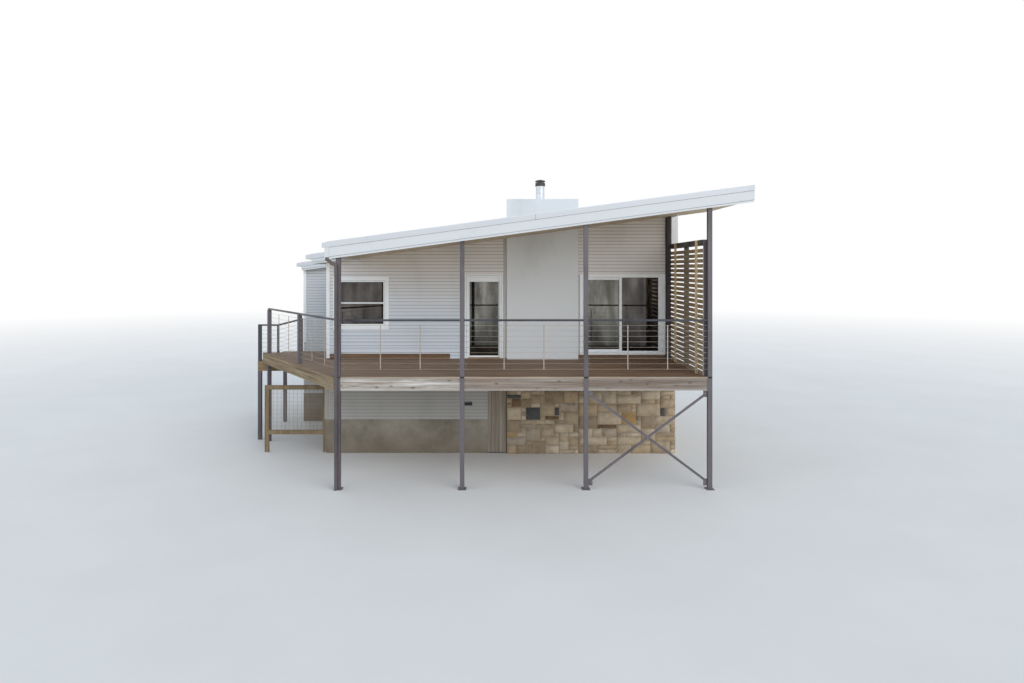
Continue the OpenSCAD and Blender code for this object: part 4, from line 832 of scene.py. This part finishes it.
def sloped(build, x0, x1, y0, y1, drop0, drop1, tone=(1, 1, 1)):
    """Strip along the roof's slope between two depths below its top."""
    points = [(x, y, roof(x) - d) for x in (x0, x1) for y in (y0, y1) for d in (drop0, drop1)]
    build.solid(points, [(0, 1, 3, 2), (4, 6, 7, 5), (0, 4, 5, 1), (2, 3, 7, 6), (0, 2, 6, 4), (1, 5, 7, 3)],
                tone)


# Board that closes the front wall's boards up to the lower roof beside the deck's roof
frieze = Build()
sloped(frieze, HOUSE_X0 + 0.064, ROOF_X0 + 0.14, WALL_Y - 0.018, WALL_Y, 0.270, 0.302, (0.9, 0.9, 0.9))
frieze.make("frieze_board", M["cladding"])

# Painted shadow lines under the capping and at the foot of the fascia, along each eave of both roofs
CAP_FOOT, LINE_H, LINE_T = 0.110, 0.007, 0.0045
HOUSE_FOOT = 0.193
lines = Build()
for x0, x1, y, s, drop, foot in (
        (-0.165, ROOF_X1 - 0.008, ROOF_Y0, -1, 0, 0.303),
        (HIGH_X + 0.02, ROOF_X1 - 0.008, TAIL_Y, 1, 0, CAP_FOOT),
        (SIDE_X0 + 0.15, ROOF_X0 - 0.01, SIDE_Y0, -1, STEP, HOUSE_FOOT),
        (LOW_X0 + 0.15, SIDE_X0 + 0.13, LOW_Y0, -1, STEP, HOUSE_FOOT),
        (LOW_X0 + 0.15, HIGH_X - 0.008, ROOF_Y1, 1, STEP, HOUSE_FOOT)):
    face = y - s * 0.006
    sloped(lines, x0, x1, face, face + s * LINE_T, drop + CAP_FOOT, drop + CAP_FOOT + LINE_H)
    sloped(lines, x0, x1, face - s * 0.008, face - s * 0.003, drop + foot, drop + foot + LINE_H)
# The same lines across the high ends
for x1, y0, y1, drop, foot in ((ROOF_X1, ROOF_Y0 + 0.02, TAIL_Y - 0.02, 0, CAP_FOOT),
                               (HIGH_X, WALL_Y + 0.02, ROOF_Y1 - 0.02, STEP, HOUSE_FOOT)):
    for d, x in ((drop + CAP_FOOT, x1 - 0.006), (drop + foot, x1 - 0.014)):
        lines.box((x, y0, roof(x) - d - LINE_H), (x + LINE_T, y1, roof(x) - d))
# Painted shade at the foot of the groove between the two lengths of the front capping
sloped(lines, 4.0562, 4.0638, -0.1182, -0.1168, 0.003, CAP_FOOT)
lines.make("roof_shadow_lines", M["joint"])


# ---------------------------------------------------------------- windows and doors

SASH = 0.032


def wall_box(build, start, along, out, u0, u1, z0, z1, d0, d1):
    """Box on a wall face: along it, up it and out from it."""
    a = (start[0] + along[0] * u0 + out[0] * d0, start[1] + along[1] * u0 + out[1] * d0, z0)
    b = (start[0] + along[0] * u1 + out[0] * d1, start[1] + along[1] * u1 + out[1] * d1, z1)
    build.box(a, b)


def seal(build, face, u0, u1, z0, z1, d, w=0.006, thick=0.003):
    """Thin frame on a wall face, inside an outline, at a distance out from it."""
    for a, b, c, e in ((u0, u1, z0, z0 + w), (u0, u1, z1 - w, z1), (u0, u0 + w, z0 + w, z1 - w),
                       (u1 - w, u1, z0 + w, z1 - w)):
        wall_box(build, *face, a, b, c, e, d, d + thick)


seals = Build()
for face in (((WIN_X0, WALL_Y), (1, 0), (0, -1)),
             ((REAR_WINDOWS[0], REAR_Y), (1, 0), (0, 1)),
             ((REAR_WINDOWS[1], REAR_Y), (1, 0), (0, 1)),
             ((HOUSE_X1, WALL_Y + RIGHT_WINDOW), (0, 1), (1, 0)),
             ((WING_X0, WING_WINDOW_Y), (0, 1), (-1, 0))):
    for z in (WIN_Z0 + SASH, WIN_Z0 + WIN_H / 2 + SASH / 2):
        seal(seals, face, SASH, WIN_W - SASH, z, z + WIN_H / 2 - 1.5 * SASH, -0.005)
    # Lines between the sashes and the trim
    seal(seals, face, -0.003, WIN_W + 0.003, WIN_Z0 - 0.003, WIN_Z0 + WIN_H + 0.003, 0.0221, 0.004, 0.0008)
front = ((0, WALL_Y), (1, 0), (0, -1))
# The fixed light beside the sliding leaf, then the two leaves, whose seals move with them
seal(seals, front, SLIDE_X0 + 1.006, SLIDE_X1 - 0.044, 2.512, 4.321, -0.017)
seals.make("glass_seals", M["gasket"])
for name, body, where in (
        ("slider_seals", "sliding_door", (SLIDE_X0 + 0.1, SLIDE_X0 + 0.944, 2.548, 4.265, -0.063)),
        ("door_seals", "front_door", (DOOR_X0 + 0.078, DOOR_X1 - 0.078, 2.391, 4.217, -0.0705))):
    leaf_seals = Build()
    seal(leaf_seals, front, *where)
    leaf_seals.make(name, M["gasket"], body=body)

# A short blind at the top of the front window, behind the glass
blind = Build()
blind.box((WIN_X0 + 0.02, WALL_Y + 0.05, WIN_Z0 + WIN_H - 0.13),
          (WIN_X0 + WIN_W - 0.02, WALL_Y + 0.056, WIN_Z0 + WIN_H - 0.03))
blind.make("window_blind", M["blind"])

# Dark joint line between the door's trim and its frame
line = Build()
for x0, x1, z0, z1 in ((DOOR_X0 - 0.001, DOOR_X0 + 0.004, 2.345, DOOR_TOP),
                       (DOOR_X1 - 0.004, DOOR_X1 + 0.001, 2.345, DOOR_TOP),
                       (DOOR_X0 - 0.001, DOOR_X1 + 0.001, DOOR_TOP - 0.003, DOOR_TOP + 0.002)):
    line.box((x0, WALL_Y - 0.0235, z0), (x1, WALL_Y - 0.0215, z1))
line.make("door_joint", M["gasket"])


# ---------------------------------------------------------------- steel fittings

FOOT_PLATE, HEAD_PLATE, ANCHOR = 0.085, 0.07, 0.066  # half sizes, and the anchors' offset
plates = Build()
bolts = Build()
for i in range(4):
    x = i * BAY
    plates.box((x - FOOT_PLATE, -FOOT_PLATE, 0.0), (x + FOOT_PLATE, FOOT_PLATE, 0.010))
    for sx in (-1, 1):
        for sy in (-1, 1):
            ax, ay = x + sx * ANCHOR, sy * ANCHOR
            bolts.rod((ax, ay, 0.008), (ax, ay, 0.030), 0.008, 8)
            bolts.rod((ax, ay, 0.010), (ax, ay, 0.022), 0.014, 6)
    plates.box((x - HEAD_PLATE, -0.06, lining(x) - 0.016), (x + HEAD_PLATE, 0.06, lining(x) - 0.006))
# Cleats that carry the beams at the posts
for i in range(3):
    for x, s in ((i * BAY + POST / 2, 1), ((i + 1) * BAY - POST / 2, -1)):
        plates.box((x, 0.030, 2.05), (x + s * 0.10, 0.036, 2.28))
        for z in (2.09, 2.23):
            bolts.rod((x + s * 0.055, -0.036, z), (x + s * 0.055, -0.028, z), 0.009, 6)
# Plates at the ends of the crossed bars, and the bolt in the middle
BRACE_TOP, BRACE_FOOT, BRACE_MID = 1.97, 0.15, 1.0675
x0, x1 = 2 * BAY + POST / 2, 3 * BAY - POST / 2
for x, z, s in ((x0, BRACE_TOP, 1), (x1, BRACE_TOP, -1), (x0, BRACE_FOOT, 1), (x1, BRACE_FOOT, -1)):
    plates.box((x, -0.012, z - 0.07), (x + s * 0.09, -0.0085, z + 0.07))
    bolts.rod((x + s * 0.055, -0.020, z), (x + s * 0.055, -0.008, z), 0.010, 6)
bolts.rod(((x0 + x1) / 2, -0.018, BRACE_MID), ((x0 + x1) / 2, 0.014, BRACE_MID), 0.010, 6)
plates.make("steel_plates", M["post"])
bolts.make("steel_bolts", M["wire"])

# Swaged ends of the wires at each post
WIRES, WIRE_Z0, WIRE_STEP = 9, DECK + 0.15, 0.113
ends = Build()
side_dir = Vector((math.cos(SIDE), math.sin(SIDE), 0))
runs = [(Vector((i * BAY + POST / 2, 0, 0)), Vector(((i + 1) * BAY - POST / 2, 0, 0))) for i in range(3)]
runs += [(side_dir * 0.06, side_dir * (SIDE_BAY - POST / 2)),
         (side_dir * (SIDE_BAY + POST / 2), side_dir * (2 * SIDE_BAY - POST / 2))]
for a, b in runs:
    d = (b - a).normalized()
    for k in range(WIRES):
        up = Vector((0, 0, WIRE_Z0 + WIRE_STEP * k))
        ends.rod(a + up, a + up + d * 0.055, 0.0055, 6)
        ends.rod(b + up, b + up - d * 0.055, 0.0055, 6)
ends.make("wire_ends", M["bright"])

# Straps that hold the pipe to the post
PIPE_X, PIPE_Y, STRAP_R, STRAP_H = -0.035, -0.0816, 0.0365, 0.025
straps = Build()
for z in (0.55, 1.75, 3.1, 4.2):
    straps.rod((PIPE_X, PIPE_Y, z), (PIPE_X, PIPE_Y, z + STRAP_H), STRAP_R, 20)
    straps.box((-POST / 2, -0.052, z), (POST / 2, -POST / 2, z + STRAP_H))
straps.make("pipe_straps", M["pipe"])

# Finer wires between those of the mesh panel
MESH_STEP, MESH_R = 0.025, 0.0012
MESH_X0, MESH_X1, MESH_Y = HOUSE_X0 - 1.565, HOUSE_X0 - 0.02, WALL_Y + 0.085
MESH_Z0, MESH_Z1, MESH_STILE = 0.50, 1.59, 0.08
wires = Build()
x = MESH_X0 + MESH_STILE + 0.01 + MESH_STEP
while x < MESH_X1 - MESH_STILE - 0.01:
    wires.rod((x, MESH_Y, MESH_Z0), (x, MESH_Y, MESH_Z1), MESH_R, 4)
    x += MESH_STEP
z = MESH_Z0 + 0.015 + MESH_STEP
while z < MESH_Z1 - 0.03:
    wires.rod((MESH_X0 + MESH_STILE, MESH_Y, z), (MESH_X1 - MESH_STILE, MESH_Y, z), MESH_R, 4)
    z += MESH_STEP
wires.make("mesh_wires", M["wire"])


# ---------------------------------------------------------------- materials of the CAD nodes

LOOK = {
    "wall": "base_walls front_wall wall_piers wall_heads right_wall rear_wall left_wall wing_walls",
    "trim": "screen_window window_frames door_frame door_leaf slider_frame slider_leaf",
    "post": "front_posts side_posts cross_brace", "rail": "handrails landing_rails",
    "wire": "front_wires side_wires", "bright": "door_hinges door_handle slider_handle",
    "glass": "door_glass slider_glass", "pane": "window_glass", "clear_glass": "screen_glass",
    "dark": "screen_frame flue_cap", "slat": "screen_slats", "batten": "screen_battens",
    "deck": "deck_boards", "beam": "deck_beams", "joist": "deck_joists", "landing": "landing",
    "floor": "floor", "corner": "corner_trims", "foot": "foot_boards", "mesh_wood": "mesh_panel",
    "panel": "base_panel", "plinth": "plinth", "mortar": "stone_base", "render": "chimney",
    "flue": "flue", "roof": "roof_sheeting", "rafter": "rafters", "lining": "roof_lining",
    "fascia": "fascias gutters", "capping": "roof_capping", "pipe": "downpipes",
}
for look, nodes in LOOK.items():
    for name in nodes.split():
        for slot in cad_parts[name].material_slots:
            slot.material = M[look]


# ---------------------------------------------------------------- stage, light and camera

def looked_at(tree):
    """1 for what the camera sees, directly or in metal and glass, and 0 for the light on surfaces."""
    path = tree.nodes.new("ShaderNodeLightPath")
    seen = path.outputs["Is Camera Ray"]
    for kind in ("Is Glossy Ray", "Is Transmission Ray"):
        either = tree.nodes.new("ShaderNodeMath")
        either.operation = "MAXIMUM"
        tree.links.new(seen, either.inputs[0])
        tree.links.new(path.outputs[kind], either.inputs[1])
        seen = either.outputs[0]
    return seen


def stage_material():
    """Pale floor that fades to white far from the house, and bounces a warmer light onto it."""
    n = Nodes("stage_floor")
    pale = n.ramp(n.noise(0.4, 4), [(0.3, (0.85, 0.83, 0.81)), (0.7, (0.89, 0.87, 0.85))])
    n.finish(pale, 0.9)
    low = n.add("ShaderNodeBsdfDiffuse")
    low.inputs["Color"].default_value = (0.86, 0.76, 0.62, 1)
    glow = n.add("ShaderNodeEmission")
    glow.inputs["Color"].default_value = (1, 1, 1, 1)
    away = n.add("ShaderNodeVectorMath", operation="LENGTH")
    n.link(n.coord, away.inputs[0])
    near = n.add("ShaderNodeMixShader")
    n.link(n.span(away.outputs["Value"], 16, 60), near.inputs[0])
    n.link(n.bsdf.outputs[0], near.inputs[1])
    n.link(glow.outputs[0], near.inputs[2])
    seen = n.add("ShaderNodeMixShader")
    n.link(looked_at(n.tree), seen.inputs[0])
    n.link(low.outputs[0], seen.inputs[1])
    n.link(near.outputs[0], seen.inputs[2])
    n.link(seen.outputs[0], n.out.inputs["Surface"])
    return n.mat


bpy.ops.mesh.primitive_plane_add(size=600, location=(0, 0, 0))
ground = bpy.context.object
ground.name = "stage_floor"
ground.data.materials.append(stage_material())

scene = bpy.context.scene
world = bpy.data.worlds.new("studio")
scene.world = world
world.use_nodes = True
wt = world.node_tree
white = wt.nodes.new("ShaderNodeBackground")
white.inputs[0].default_value = (1, 1, 1, 1)
soft = wt.nodes["Background"]
soft.inputs[0].default_value = (0.77, 0.885, 1.0, 1)
# The soft light is stronger low down than overhead
way = wt.nodes.new("ShaderNodeSeparateXYZ")
wt.links.new(wt.nodes.new("ShaderNodeTexCoord").outputs["Generated"], way.inputs[0])
height = wt.nodes.new("ShaderNodeMapRange")
for i, v in enumerate((0.0, 0.9, 1.08, 0.55), 1):
    height.inputs[i].default_value = v
wt.links.new(way.outputs[2], height.inputs[0])
wt.links.new(height.outputs[0], soft.inputs[1])
mixed = wt.nodes.new("ShaderNodeMixShader")
wt.links.new(looked_at(wt), mixed.inputs[0])
wt.links.new(soft.outputs[0], mixed.inputs[1])
wt.links.new(white.outputs[0], mixed.inputs[2])
wt.links.new(mixed.outputs[0], wt.nodes["World Output"].inputs[0])


def sun(name, toward, power, spread, colour):
    """Soft sun that shines toward a direction, with its spread in degrees."""
    lamp = bpy.data.lights.new(name, "SUN")
    lamp.energy = power
    lamp.angle = math.radians(spread)
    lamp.color = colour
    obj = bpy.data.objects.new(name, lamp)
    obj.rotation_euler = Vector(toward).to_track_quat("-Z", "Y").to_euler()
    scene.collection.objects.link(obj)


sun("key_light", (-0.55, 0.78, -0.48), 1.10, 50, (1.0, 0.985, 0.96))
sun("fill_light", (0.8, 0.5, -0.35), 0.40, 70, (0.93, 0.96, 1.0))

# Level camera, square to the front, with the photo's vanishing point and horizon
IMAGE_W, IMAGE_H = 1024, 683
VANISH_X, HORIZON_Y = 500, 268
CAM_X, CAM_Y, CAM_Z = 3.330, -14.08, 4.557
SENSOR = 36
camera = bpy.data.cameras.new("camera")
camera.sensor_width = SENSOR
camera.lens = SENSOR * IMAGE_H / IMAGE_W
camera.shift_x = (IMAGE_W / 2 - VANISH_X) / IMAGE_W
camera.shift_y = (HORIZON_Y - IMAGE_H / 2) / IMAGE_W
camera.clip_end = 400
cam = bpy.data.objects.new("camera", camera)
cam.location = (CAM_X + OX, CAM_Y + OY, CAM_Z)
cam.rotation_euler = (math.radians(90), 0, 0)
scene.collection.objects.link(cam)
scene.camera = cam
scene.view_settings.view_transform = "Standard"
